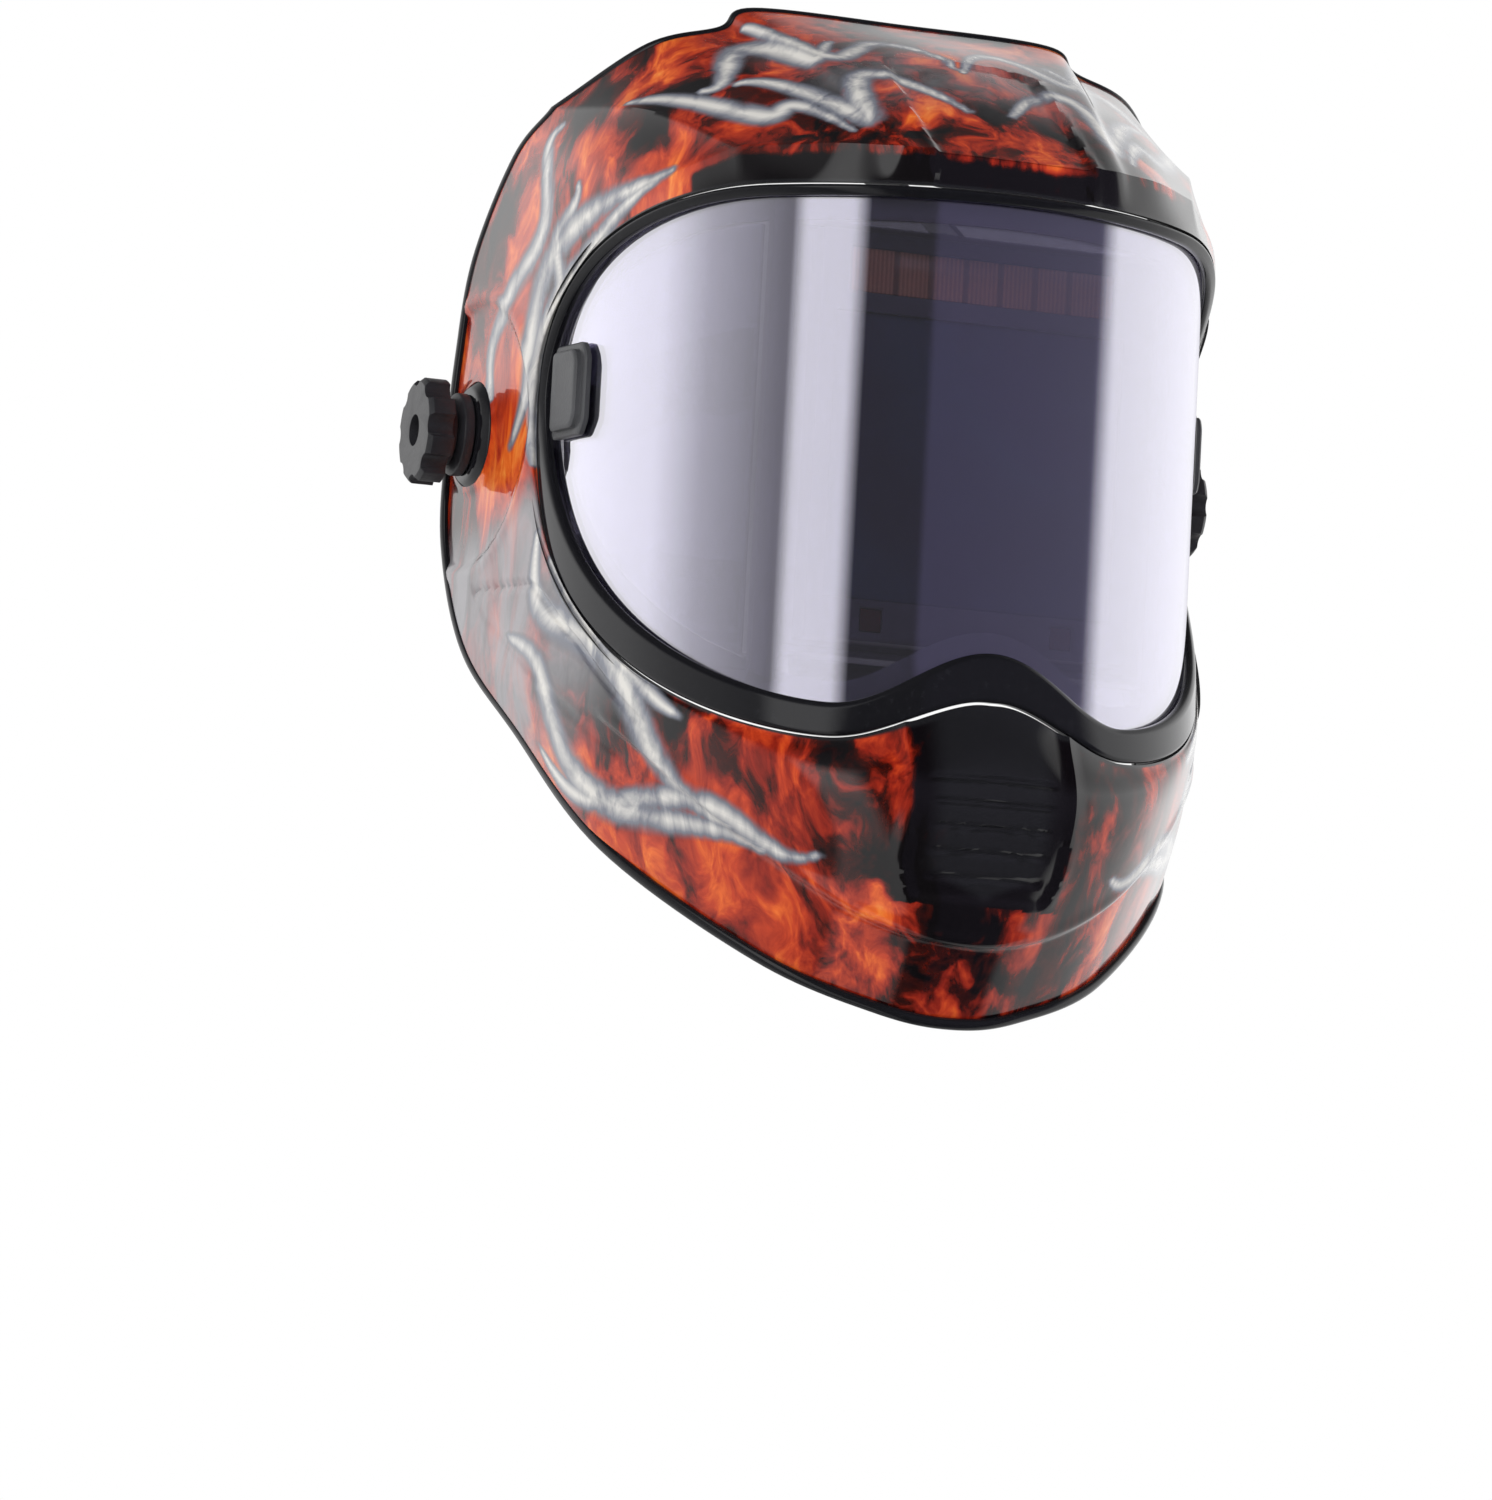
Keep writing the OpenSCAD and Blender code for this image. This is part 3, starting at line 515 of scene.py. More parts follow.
def dark_glass(name, colour, rough=0.08):
    n = new_nodes(name)
    cloud = n.noise(n.coords, 30, 4, 0.6)
    red, green, blue = colour
    stops = [(0.3, colour), (0.5, (red, green * 1.5, blue * 1.5)), (0.7, (red * 1.4, green, blue * 1.6))]
    fringe = n.ramp(n.noise(n.coords, 14, 2), stops)
    return n.surface(Base_Color=fringe, Roughness=n.math("MULTIPLY_ADD", cloud, 0.06, rough), Coat_Weight=0.8,
                     Coat_Roughness=0.04, Normal=n.bump(cloud, 0.00004, 0.2))


def solar_stripes():
    """Amorphous cell: brown glass with fine upright stripes and faint dividers."""
    n = new_nodes("solar_brown_look")
    divider = n.ramp(n.wave(n.coords, 26, direction="X"), [(0.9, 0.0), (0.97, 1.0)])
    fine = n.wave(n.coords, 210, direction="X")
    base = n.mix(n.noise(n.coords, 40, 4), (0.5, 0.22, 0.12), (0.68, 0.32, 0.17))
    striped = n.mix(n.math("MULTIPLY", fine, 0.35), base, (0.1, 0.035, 0.02))
    return n.surface(Base_Color=n.mix(divider, striped, (0.22, 0.095, 0.055)), Roughness=0.2, Coat_Weight=0.7,
                     Normal=n.bump(fine, 0.00003, 0.3))


def circuit():
    n = new_nodes("board_green_look")
    tracks = n.ramp(n.voronoi(n.coords, 260, "DISTANCE_TO_EDGE"), [(0.03, 1.0), (0.06, 0.0)])
    return n.surface(Base_Color=n.mix(tracks, (0.008, 0.09, 0.035), (0.03, 0.2, 0.08)), Roughness=0.35,
                     Normal=n.bump(tracks, 0.00005, 0.6))


def woven(name, colour):
    """Brushed sweatband cloth: crossed yarns, lint and slightly faded patches."""
    n = new_nodes(name)
    warp, weft = n.wave(n.coords, 330, 0.8, "X"), n.wave(n.coords, 330, 0.8, "Z")
    yarn = n.math("MAXIMUM", warp, weft)
    lint = n.noise(n.coords, 700, 4, 0.7)
    fade = n.noise(n.coords, 28, 4, 0.6)
    light = tuple(c * 2.1 + 0.015 for c in colour)
    tone = n.mix(n.ramp(fade, [(0.35, 0.0), (0.75, 0.7)]), colour, light)
    tone = n.mix(n.math("MULTIPLY", yarn, 0.4), tone, light)
    height = n.math("MULTIPLY_ADD", lint, 0.5, yarn)
    return n.surface(Base_Color=tone, Roughness=0.92, Sheen_Weight=0.6, Sheen_Roughness=0.4,
                     Normal=n.bump(height, 0.00035, 0.8))


PAINT = shell_paint()
LINER = moulded("shell_inside_look", (0.018, 0.018, 0.02), 0.5, 0.00008, 900)
BEZEL = gloss_black()
VISOR = visor_coat("visor_clear_look", (0.86, 0.84, 0.96), 0.32, 0.36, 0.012)
INNER_VISOR = visor_coat("inner_visor_look", (0.9, 0.91, 0.93), 0.06, 0.3, 0.02)
TINTED = visor_coat("side_tint_look", (0.5, 0.5, 0.55), 0.1, 0.35, 0.02)
FRAME = moulded("frame_grey_look", (0.15, 0.145, 0.17), 0.42)
CASE = moulded("case_black_look", (0.085, 0.08, 0.1), 0.46, 0.00008, 1100)
LATCH = moulded("latch_black_look", (0.055, 0.056, 0.06), 0.42, 0.00008, 1200)
KNOB = moulded("knob_black_look", (0.016, 0.016, 0.019), 0.36, 0.00007, 1300)
CONTROL = moulded("control_grey_look", (0.05, 0.05, 0.055), 0.45)
BAND = moulded("band_black_look", (0.02, 0.02, 0.023), 0.48, 0.0001, 800)
WASHER = moulded("washer_black_look", (0.02, 0.02, 0.02), 0.75, 0.0001, 1000)
RED = moulded("button_red_look", (0.42, 0.02, 0.015), 0.35)
WHITE = moulded("switch_white_look", (0.6, 0.6, 0.57), 0.42)
ACETAL = moulded("pinion_white_look", (0.62, 0.61, 0.57), 0.35)
STEEL = brushed("stud_steel_look", (0.56, 0.56, 0.57))
CELL = brushed("cell_steel_look", (0.68, 0.68, 0.69), 0.22)
BRASS = brushed("insert_brass_look", (0.72, 0.5, 0.2), 0.3, (14, 1, 1))
FILTER = dark_glass("filter_dark_look", (0.05, 0.048, 0.075))
SENSOR = dark_glass("sensor_red_look", (0.06, 0.008, 0.006))
SOLAR = solar_stripes()
BOARD = circuit()
CLOTH = woven("pad_fabric_look", (0.022, 0.022, 0.026))


# ---- Shell ----
# Mesh steps per column and per ring of control points; the inner skin keeps one ring in INNER_SHARE
COLUMN_STEPS, RING_STEPS, INNER_SHARE = 18, 44, 3
# Side view (y, z) of the jaw panel's upper and lower lines
PANEL_TOP = [(-12, -54), (-56, -55.5), (-62, -58.5), (-87, -77), (-117, -105)]
PANEL_FOOT = [(-20, -62), (-55, -81), (-80, -97), (-107, -115)]
GROOVE_DEEP, STEP_DEEP, SLAT_DEEP, SLAT_PITCH = 0.9, 0.35, 0.8, 8
SLAT_LOW, SLAT_HIGH, SLAT_HALF = -152, -112, 20
# Pivot recess, chin panel and the ledge under it
RECESS_R, RECESS_DEEP, CHIN_W, CHIN_FOOT, CHIN_DEEP = 46, 1.3, 27.5, -160, 1.2
LEDGE_Z, LEDGE_RISE, LEDGE_HALF, LEDGE_DEEP, LIP = -172, 28, 66, 1.6, 0.5
CHIN_RIB = 0.35
CHIN_FRONT = -120
# The raised ring round each pivot stud
BOSS_R, BOSS_IN, BOSS_OUT, STUD_BORE = 16, 118, 124.8, 5.08


def line_distance(y, z, points):
    """Distance in the side view to a line of points."""
    best = np.full(y.shape, 1e9)
    for (y0, z0), (y1, z1) in zip(points, points[1:]):
        dy, dz = y1 - y0, z1 - z0
        t = np.clip(((y - y0) * dy + (z - z0) * dz) / (dy ** 2 + dz ** 2), 0, 1)
        best = np.minimum(best, np.hypot(y - y0 - t * dy, z - z0 - t * dz))
    return best


def pressed_forms(points):
    """How far both skins move out along the normal: pivot recess, chin panel and chin ledge."""
    x, y, z = points[..., 0], points[..., 1], points[..., 2]
    ridge = np.hypot(y, z) - RECESS_R
    recess = -RECESS_DEEP * smooth(-ridge / 2.2) + 0.5 * np.exp(-((ridge - 2) / 2.2) ** 2)
    recess *= smooth((x - 100) / 8) * smooth((ridge + RECESS_R - 17) / 5)
    half_w = CHIN_W - 6 * smooth((-145 - z) / 20)
    chin = smooth((z - CHIN_FOOT) / 3) * (y < CHIN_FRONT)
    inside = smooth((half_w - x) / 1.8) * chin
    rib = np.exp(-((x - half_w - 1) / 1.6) ** 2) * chin
    ledge_z = LEDGE_Z + LEDGE_RISE * (x / LEDGE_HALF) ** 2
    step = smooth((ledge_z - z) / 2.5) * smooth((-y - 85) / 25)
    lip = np.exp(-((z - ledge_z - 1) / 1.8) ** 2) * (y < -100)
    return recess - CHIN_DEEP * inside + CHIN_RIB * rib - LEDGE_DEEP * step + LIP * lip


def cut_forms(points):
    """Cuts in the outer skin only: the jaw panel's two lines and the chin's slats."""
    x, y, z = points[..., 0], points[..., 1], points[..., 2]
    side = smooth((x - 70) / 12)
    top, foot = line_distance(y, z, PANEL_TOP), line_distance(y, z, PANEL_FOOT)
    groove = GROOVE_DEEP * (1 - smooth((top - 0.6) / 1.3)) + STEP_DEEP * (1 - smooth((foot - 0.4) / 2.2))
    levels = range(SLAT_LOW, SLAT_HIGH, SLAT_PITCH)
    slats = sum(1 - smooth((np.abs(z - level) - 0.5) / 0.9) for level in levels)
    return -side * groove - SLAT_DEEP * slats * (x < SLAT_HALF) * (y < CHIN_FRONT)


WISP_STEPS, WISP_TURNS = 140, 2.6
# Pale wisps of the print, shaded dark at their edges and pale in the middle as painted rounding, as place
# across the columns and from bezel to rim: start, end, sway, half width
WISPS = [
    ((8.7, 0.4), (4.9, 0.8), 0.22, 4.5),
    ((8.3, 1.5), (4.6, 1.35), -0.3, 5.5),
    ((7.6, 2.1), (4.4, 2.45), 0.25, 4.5),
    ((6.9, 0.9), (5.2, 2.0), -0.2, 3.5),
    ((9.7, 1.0), (12.7, 1.5), 0.35, 6.0),
    ((10.3, 2.1), (12.9, 2.2), -0.3, 5.0),
    ((10.1, 0.35), (12.2, 0.75), 0.2, 4.5),
    ((11.3, 2.7), (13.3, 1.5), 0.25, 3.5),
    ((0.2, 1.5), (2.9, 1.75), 0.3, 4.5),
    ((0.8, 2.35), (3.3, 2.3), -0.25, 5.0),
    ((2.3, 1.2), (3.9, 2.1), 0.2, 4.0),
    ((0.0, 2.0), (1.7, 2.6), 0.25, 3.5),
]


def between(points, i, j):
    """The surface point at a fractional place of the grid."""
    i, j = min(max(i, 0), points.shape[0] - 1.001), min(max(j, 0), points.shape[1] - 1.001)
    k, m = int(i), int(j)
    s, t = i - k, j - m
    near = points[k, m] * (1 - t) + points[k, m + 1] * t
    far = points[k + 1, m] * (1 - t) + points[k + 1, m + 1] * t
    return near * (1 - s) + far * s


def half_slat(z):
    """Half width of the chin's plain black centre at height z."""
    return 24 * smooth((z + 162) / 14)


def print_masks(points, u, v):
    """Where the print is hot, smoky, streaked or left plain black, for half of the shell."""
    uu, vv = np.meshgrid(u, v, indexing="ij")
    x, y, z = points[..., 0], points[..., 1], points[..., 2]
    low_jaw = smooth((uu - 10.6) / 1.2) * smooth((14.3 - uu) / 0.8)
    flank = smooth((uu - 4.2) / 0.5) * smooth((9.4 - uu) / 0.8)
    heat = 0.6 + 0.22 * low_jaw + 0.34 * flank + 0.12 * smooth((vv - 0.8) / 0.6) * (uu < 4)
    heat *= 1 - 0.95 * smooth((0.85 - vv) / 0.3) * (uu < 4.5)
    heat *= 1 - 0.75 * smooth((CHIN_W + 2 - x) / 4) * (uu > 12) * (z > CHIN_FOOT)
    smoke = smooth((uu - 8.8) / 0.6) * smooth((11.9 - uu) / 1.0) * smooth((vv - 0.1) / 0.4)
    smoke += 0.45 * smooth((2.8 - uu) / 1.5) * smooth((vv - 1.3) / 0.6) * smooth((2.8 - vv) / 0.6)
    plain = smooth((0.1 - vv) / 0.05) + smooth((vv - 2.95) / 0.03)
    plain += smooth((half_slat(z) - x) / 9) * (uu > 12) * (y < CHIN_FRONT)
    masks = {"fire": heat, "smoke": np.clip(smoke, 0, 1), "plain": np.clip(plain, 0, 1)}
    masks["streak"] = wisp_mask(points)
    return masks


def wisp_mask(points):
    """How near each point is to the middle of a wisp, from 0 outside to 1; the paint turns this into the
    wisp's colour, with painted shade towards its edges.
    """
    near = np.zeros(points.shape[:2])
    for start, end, sway, width in WISPS:
        for t in np.linspace(0, 1, WISP_STEPS):
            column = start[0] + (end[0] - start[0]) * t
            ring = start[1] + (end[1] - start[1]) * t + sway * math.sin(WISP_TURNS * math.pi * t)
            centre = between(points, column * COLUMN_STEPS, ring * RING_STEPS)
            reach = 1.2 + 1.5 * width * math.sin(math.pi * (0.04 + 0.92 * t)) ** 0.8
            near = np.maximum(near, 1 - np.linalg.norm(points - centre, axis=-1) / reach)
    return np.clip(near, 0, 1)


def make_shell():
    """Both skins as one closed ring of sections, open only inside the pivot rings, with the print's masks."""
    u = np.linspace(0, LAST, LAST * COLUMN_STEPS + 1)
    v = np.linspace(0, 3, 3 * RING_STEPS + 1)
    base, normal = skin(u, v), skin_normal(u, v)
    pressed = base + pressed_forms(base)[..., None] * normal
    outer = pressed + cut_forms(base)[..., None] * normal
    square = smooth(2 * v)[None, :, None]
    wall = unit((1 - square) * lens_normal(outline(place(u))[0])[:, None] + square * normal)
    inner = pressed - SHELL_T * wall
    masks = print_masks(base, u, v)
    sections = both_halves(np.concatenate([outer, inner[:, ::-INNER_SHARE]], axis=1))
    rows, columns = sections.shape[:2]
    count = len(v)
    bore = np.hypot(sections[..., 1], sections[..., 2])
    faces, paint = [], []
    hole = [bore[i].min() < BOSS_R - 1 for i in range(rows)]
    for i in range(rows):
        for j in range(columns):
            i2, j2 = (i + 1) % rows, (j + 1) % columns
            if hole[i] and max(bore[i, j], bore[i2, j], bore[i, j2], bore[i2, j2]) < BOSS_R - 1.5:
                continue
            faces.append((i * columns + j, i * columns + j2, i2 * columns + j2, i2 * columns + j))
            paint.append(0 if j < count - 1 else 1)
    piece = new_piece("shell_look", sections.reshape(-1, 3), faces, [PAINT, LINER], "visor", "shell_paint",
                      sharp=34, replaces=("shell",))
    mesh = piece.data
    mesh.polygons.foreach_set("material_index", paint)
    for name, half in masks.items():
        whole = np.concatenate([half, half[-2:0:-1]])
        values = np.concatenate([whole, whole[:, ::-INNER_SHARE]], axis=1).ravel()
        mesh.attributes.new(name, "FLOAT", "POINT").data.foreach_set("value", values.astype(np.float32))


make_shell()


def pivot_boss(side, word):
    """A raised ring round the stud, turned about the tilt axis from a section of (x, radius) corners."""
    corners = [(BOSS_IN, STUD_BORE), (BOSS_IN, BOSS_R + 2), (121.5, BOSS_R + 3), (124.2, BOSS_R),
               (BOSS_OUT, BOSS_R - 2), (BOSS_OUT, STUD_BORE)]
    x, r = rounded_outline(corners, 0.9).T
    turns = np.linspace(0, 2 * np.pi, 72, endpoint=False)
    rings = np.array([np.stack([side * x, r * np.cos(a), r * np.sin(a)], -1) for a in turns])
    points, faces = swept_ring(rings)
    if side < 0:
        faces = [f[::-1] for f in faces]
    new_piece("pivot_boss_" + word, points, faces, BEZEL, "visor", "shell_paint")


for side, word in ((1, "left"), (-1, "right")):
    pivot_boss(side, word)


BEAD_STEPS, BEAD_ROUND, BEAD_OUT, BEAD_THICK = 12, 14, 2.0, 1.7


def rim_bead():
    """The rolled black lip along the shell's rear edge."""
    u = np.linspace(0, LAST, LAST * BEAD_STEPS + 1)
    rim, back = skin(u, np.array([3.0]))[:, 0], skin(u, np.array([2.9]))[:, 0]
    normal = skin_normal(u, np.array([2.99]))[:, 0]
    outward = unit(rim - back)
    centre = rim - 0.9 * normal - 0.2 * outward
    angle = np.linspace(0, 2 * np.pi, BEAD_ROUND, endpoint=False)
    cos, sin = np.cos(angle)[None, :, None], np.sin(angle)[None, :, None]
    section = BEAD_OUT * cos * outward[:, None] + BEAD_THICK * sin * normal[:, None]
    points, faces = swept_ring(both_halves(centre[:, None] + section))
    new_piece("rim_bead", points, faces, BEZEL, "visor", "bezel_black")


rim_bead()


# ---- Window ----
# Mesh steps per column of control points
BEZEL_STEPS = 28


def make_bezel():
    """The black band round the visor, with a rounded section that follows its width."""
    p = place(np.linspace(0, LAST, LAST * BEZEL_STEPS + 1))
    rows = []
    for place_p, width in zip(p, bezel_w(p)):
        outer = width - 0.05
        corners = [(0.0, 0.35), (0.0, 2.6), (1.6, 3.9), (width - 1.1, 4.45), (outer, 3.7), (outer, 0.35)]
        section = rounded_outline(corners, 0.8)
        rows.append([beside(place_p, a, b) for a, b in section])
    points, faces = swept_ring(both_halves(np.array(rows)))
    new_piece("window_bezel_look", points, faces, BEZEL, "visor", "bezel_black", sharp=50,
              replaces=("window_bezel",))


make_bezel()


def upper_z(a, m):
    """Top edge of the window at angle a, moved out by m."""
    s = np.clip((np.abs(a) - FLAT_A) / (SIDE_A + m / ANGLE_MM - FLAT_A), 0, 1)
    return SIDE_Z + (TOP_Z + m - SIDE_Z) * np.sqrt(1 - s * s)


def lower_z(a, m):
    s = np.clip((np.abs(a) - NOSE_A) / (SIDE_A + m / ANGLE_MM - NOSE_A), 0, 1)
    arch = LOW_Z - m + NOSE_RISE * (1 + np.cos(np.pi * a / NOSE_A)) / 2
    jaw = SIDE_Z + (LOW_Z - m - SIDE_Z) * np.maximum(0, 1 - s ** (2 / JAW_POWER)) ** (JAW_POWER / 2)
    return np.where(np.abs(a) <= NOSE_A, arch, jaw)


def visor_sheet(name, a0, a1, margin, out0, out1, material, slot, node, columns=200, rows=24):
    """A curved sheet inside the window's outline, without the CAD's holes for the latch stems."""
    a = a0 + (a1 - a0) * (1 - np.cos(np.linspace(0, np.pi, columns + 1))) / 2
    high, low = upper_z(a, margin), lower_z(a, margin)
    low = np.minimum(low, high - 0.5)
    t = np.linspace(0, 1, rows + 1)
    z = low[:, None] + (high - low)[:, None] * t[None]
    angle = np.repeat(a[:, None], rows + 1, 1)
    section = np.concatenate([lens_point(angle, z, out1), lens_point(angle, z, out0)[:, ::-1]], axis=1)
    count = section.shape[1]
    faces = [f[::-1] for f in grid_faces(columns + 1, count, False, True)]
    faces += [tuple(range(count)), tuple(columns * count + k for k in reversed(range(count)))]
    new_piece(name, section.reshape(-1, 3), faces, material, "visor", slot, sharp=30, replaces=(node,))


LENS_MARGIN, WINDOW_MARGIN, WINDOW_START = 3, -8.2, 42.2
LENS_EDGE = SIDE_A + LENS_MARGIN / ANGLE_MM
visor_sheet("cover_lens_look", -LENS_EDGE, LENS_EDGE, LENS_MARGIN, -LENS_T, 0, VISOR, "visor_clear",
            "cover_lens")
LAYER_OUT = -LENS_T - 0.4
LAYER_IN = LAYER_OUT - 2
WINDOW_EDGE = SIDE_A + WINDOW_MARGIN / ANGLE_MM
for side, word in ((1, "left"), (-1, "right")):
    ends = sorted((side * WINDOW_START, side * WINDOW_EDGE))
    visor_sheet("side_window_look_" + word, *ends, WINDOW_MARGIN, LAYER_IN, LAYER_OUT, TINTED, "side_tint",
                "side_window_" + word, 60, 16)

# ---- Hard parts that keep the CAD's own shape: node, material, how far its edges are rounded ----
for node, material, bevel in (
    ("inner_frame", FRAME, 0.0), ("filter_housing", CASE, 0.5), ("filter_back_cover", CASE, 0.4),
    ("filter_glass", FILTER, 0.3), ("lcd_panel", FILTER, 0.2), ("solar_cell", SOLAR, 0.15),
    ("arc_sensors", SENSOR, 0.4), ("circuit_board", BOARD, 0.1), ("inner_cover_lens", INNER_VISOR, 0.2),
    ("shade_knob", CONTROL, 0.5),
    ("sensitivity_knob", CONTROL, 0.5), ("delay_knob", CONTROL, 0.5), ("test_button", RED, 0.4),
    ("range_switch", WHITE, 0.4), ("battery_tray_left", CASE, 0.4), ("battery_tray_right", CASE, 0.4),
    ("battery_cell_left", CELL, 0.4), ("battery_cell_right", CELL, 0.4), ("filter_retainer", CASE, 0.3),
    ("headband_front", BAND, 0.6), ("side_arm_left", BAND, 0.9), ("side_arm_right", BAND, 0.9),
    ("pivot_studs", STEEL, 0.6), ("friction_washers", WASHER, 0.4), ("outer_washers", KNOB, 0.5),
    ("tilt_stop", CONTROL, 0.5), ("tension_knob_left", KNOB, 1.0), ("tension_knob_right", KNOB, 1.0),
    ("knob_insert_left", BRASS, 0.4), ("knob_insert_right", BRASS, 0.4), ("crown_strap_left", BAND, 0.5),
    ("crown_strap_right", BAND, 0.5), ("crown_pegs", BAND, 0.5), ("rear_band", BAND, 0.6),
    ("ratchet_housing", CASE, 1.6), ("ratchet_knob", KNOB, 1.4), ("ratchet_pinion", ACETAL, 0.2),
    ("ratchet_screws", STEEL, 0.4),
):
    refined(node, material, bevel)


# ---- Lens latches ----
LATCH_A, LATCH_TALL, LATCH_WIDE = 80.0, 31, 22
# Each step of the grip: how far its outline is set in, and how far out from the lens it lies
LATCH_STEPS = [(0.6, 0.35), (0, 0.8), (0, 2.4), (0.5, 2.9), (2.2, 3.0), (2.4, 3.3), (2.4, 4.7), (2.9, 5.3),
               (3.8, 5.5), (6, 5.2)]
STEM_R, STEM_TIP_R = 2.95, 2.3


def latch(side, word):
    """A two-step grip pad with its front corners cut off, facing out from the visor, on a round stem."""
    n = lens_normal(np.array(LATCH_A))
    back, up = np.array([-n[1], n[0], 0]), np.array([0, 0, 1])
    centre = lens_point(np.array(LATCH_A), SIDE_Z)

    def grip_ring(inset, out):
        half_w, half_h = LATCH_WIDE / 2 - inset, LATCH_TALL / 2 - inset
        cut = half_w * 0.45
        corners = [(-half_w, half_h - cut), (-half_w + cut * 0.6, half_h), (half_w, half_h),
                   (half_w, -half_h), (-half_w + cut * 0.6, -half_h), (-half_w, -half_h + cut)]
        flat = rounded_outline(corners, 1.6, 5)
        return np.array([centre + q[0] * back + q[1] * up + out * n for q in flat])

    def stem_ring(radius, out):
        turns = np.linspace(0, 2 * np.pi, 24, endpoint=False)
        return np.array([centre + radius * (math.cos(t) * back + math.sin(t) * up) + out * n for t in turns])

    def add(name, rings, flip, **options):
        rows, count = rings.shape[:2]
        points = rings.reshape(-1, 3)
        faces = [tuple(reversed(range(count))), tuple((rows - 1) * count + k for k in range(count))]
        faces = grid_faces(rows, count, False, True) + faces
        if flip:
            faces = [f[::-1] for f in faces]
        if side < 0:
            points, faces = points * MIRROR, [f[::-1] for f in faces]
        new_piece(name + word, points, faces, LATCH, "latch_" + word, "latch_black", sharp=38, **options)

    grip = np.array([grip_ring(*step) for step in LATCH_STEPS])
    add("latch_grip_", grip, False, replaces=("lens_latch_" + word,))
    stem = np.array([stem_ring(STEM_R, 0.4), stem_ring(STEM_R, LAYER_IN - 0.3),
                     stem_ring(STEM_TIP_R, LAYER_IN - 1)])
    add("latch_stem_", stem, True)


latch(1, "left")
latch(-1, "right")


# ---- Pads ----
BAND_TILT = math.radians(20)
VOXEL, SHRINK, SWELL = 3.2, 1.0, 1.4
PRESSURE, CLOTH_FRAMES = 4, 20
CHANNEL_PITCH, CHANNEL_DEEP, CHANNEL_SPREAD, SEAM_WIDE, SEAM_DEEP = 14, 0.9, 0.0035, 0.9, 0.5
# Stitches: heights on the pad, angle between two, half length, thread radius and sides, and where rays start
STITCH_LEVELS, STITCH_TURN, STITCH_EACH_SIDE = (-10.5, 10.5), 1.6, 26
STITCH_HALF, THREAD_R, THREAD_SIDES, RAY_START = 0.9, 0.28, 6, 30


def blow_up(pad):
    """Fill the pad with air by the cloth solver, with no gravity, and cap how far each point moves."""
    start = np.array([v.co for v in pad.data.vertices])
    cloth = pad.modifiers.new("fill", "CLOTH")
    cloth.settings.use_pressure = True
    cloth.settings.uniform_pressure_force = PRESSURE
    cloth.settings.quality = 5
    cloth.settings.effector_weights.gravity = 0
    cloth.point_cache.frame_end = CLOTH_FRAMES
    for number in range(1, CLOTH_FRAMES + 1):
        bpy.context.scene.frame_set(number)
    apply_modifiers(pad)
    bpy.context.scene.frame_set(1)
    moved = np.array([v.co for v in pad.data.vertices]) - start
    length = np.linalg.norm(moved, axis=1, keepdims=True)
    moved *= np.minimum(1, SWELL * MM / np.maximum(length, 1e-9))
    for v, to in zip(pad.data.vertices, start + moved):
        v.co = to


def padded(node):
    """A soft pad blown up by the cloth solver from the CAD solid, then given a seam and stitched channels."""
    pad = bpy.data.objects.new(node + "_soft", frame["nodes"][node].data.copy())
    bpy.context.scene.collection.objects.link(pad)
    shrink = pad.modifiers.new("smaller", "REMESH")
    shrink.mode, shrink.voxel_size = "VOXEL", VOXEL * MM
    apply_modifiers(pad)
    for v in pad.data.vertices:
        v.co -= v.normal * SHRINK * MM
    blow_up(pad)
    finer = pad.modifiers.new("finer", "SUBSURF")
    finer.levels = finer.render_levels = 1
    apply_modifiers(pad)
    mesh = pad.data
    mesh.update()
    for v in mesh.vertices:
        height = (v.co.z * math.cos(BAND_TILT) + v.co.y * math.sin(BAND_TILT)) / MM
        seam = math.exp(-(height / SEAM_WIDE) ** 2)
        along_pad = (v.co.x / MM / CHANNEL_PITCH + 0.5) % 1 - 0.5
        channel = math.exp(-along_pad ** 2 / CHANNEL_SPREAD)
        v.co -= v.normal * (CHANNEL_DEEP * channel + SEAM_DEEP * seam) * MM
    piece = as_piece(node + "_cloth", mesh, CLOTH, body_of(node), sharp=70, replaces=(node,))
    bpy.data.objects.remove(pad)
    stitches(piece, node)


def stitches(pad, node):
    """A row of short raised threads along each long side of a pad's inner face."""
    low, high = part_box(node)
    front = -1 if low.y + high.y < 0 else 1
    lean = Matrix.Rotation(-BAND_TILT, 3, "X")
    points, faces = [], []
    for level in STITCH_LEVELS:
        for k in range(-STITCH_EACH_SIDE, STITCH_EACH_SIDE + 1):
            angle = math.radians(k * STITCH_TURN)
            origin = lean @ (Vector((math.sin(angle) * RAY_START, 0, level)) * MM)
            direction = lean @ Vector((math.sin(angle), front * math.cos(angle), 0))
            hit, where, normal, _ = pad.ray_cast(origin, direction)
            if hit:
                add_thread(points, faces, where, normal, lean @ Vector((0, 0, 1)))
    new_piece(node + "_stitching", points, faces, THREAD, body_of(node), "pad_fabric")


def add_thread(points, faces, where, normal, upright):
    """One short round thread lying on the cloth, with flat ends."""
    side = normal.cross(upright).normalized()
    up = normal.cross(side)
    first = len(points)
    for end in (-STITCH_HALF, STITCH_HALF):
        for t in range(THREAD_SIDES):
            turn = math.tau * t / THREAD_SIDES
            offset = side * end + (normal * math.cos(turn) + up * math.sin(turn)) * THREAD_R
            points.append(np.array(where) / MM + np.array(offset))
    far = first + THREAD_SIDES
    for t in range(THREAD_SIDES):
        following = (t + 1) % THREAD_SIDES
        faces.append((first + t, first + following, far + following, far + t))
    faces.append(tuple(first + t for t in reversed(range(THREAD_SIDES))))
    faces.append(tuple(far + t for t in range(THREAD_SIDES)))


THREAD = moulded("thread_grey_look", (0.12, 0.12, 0.13), 0.7)
padded("brow_pad")
padded("rear_pad")


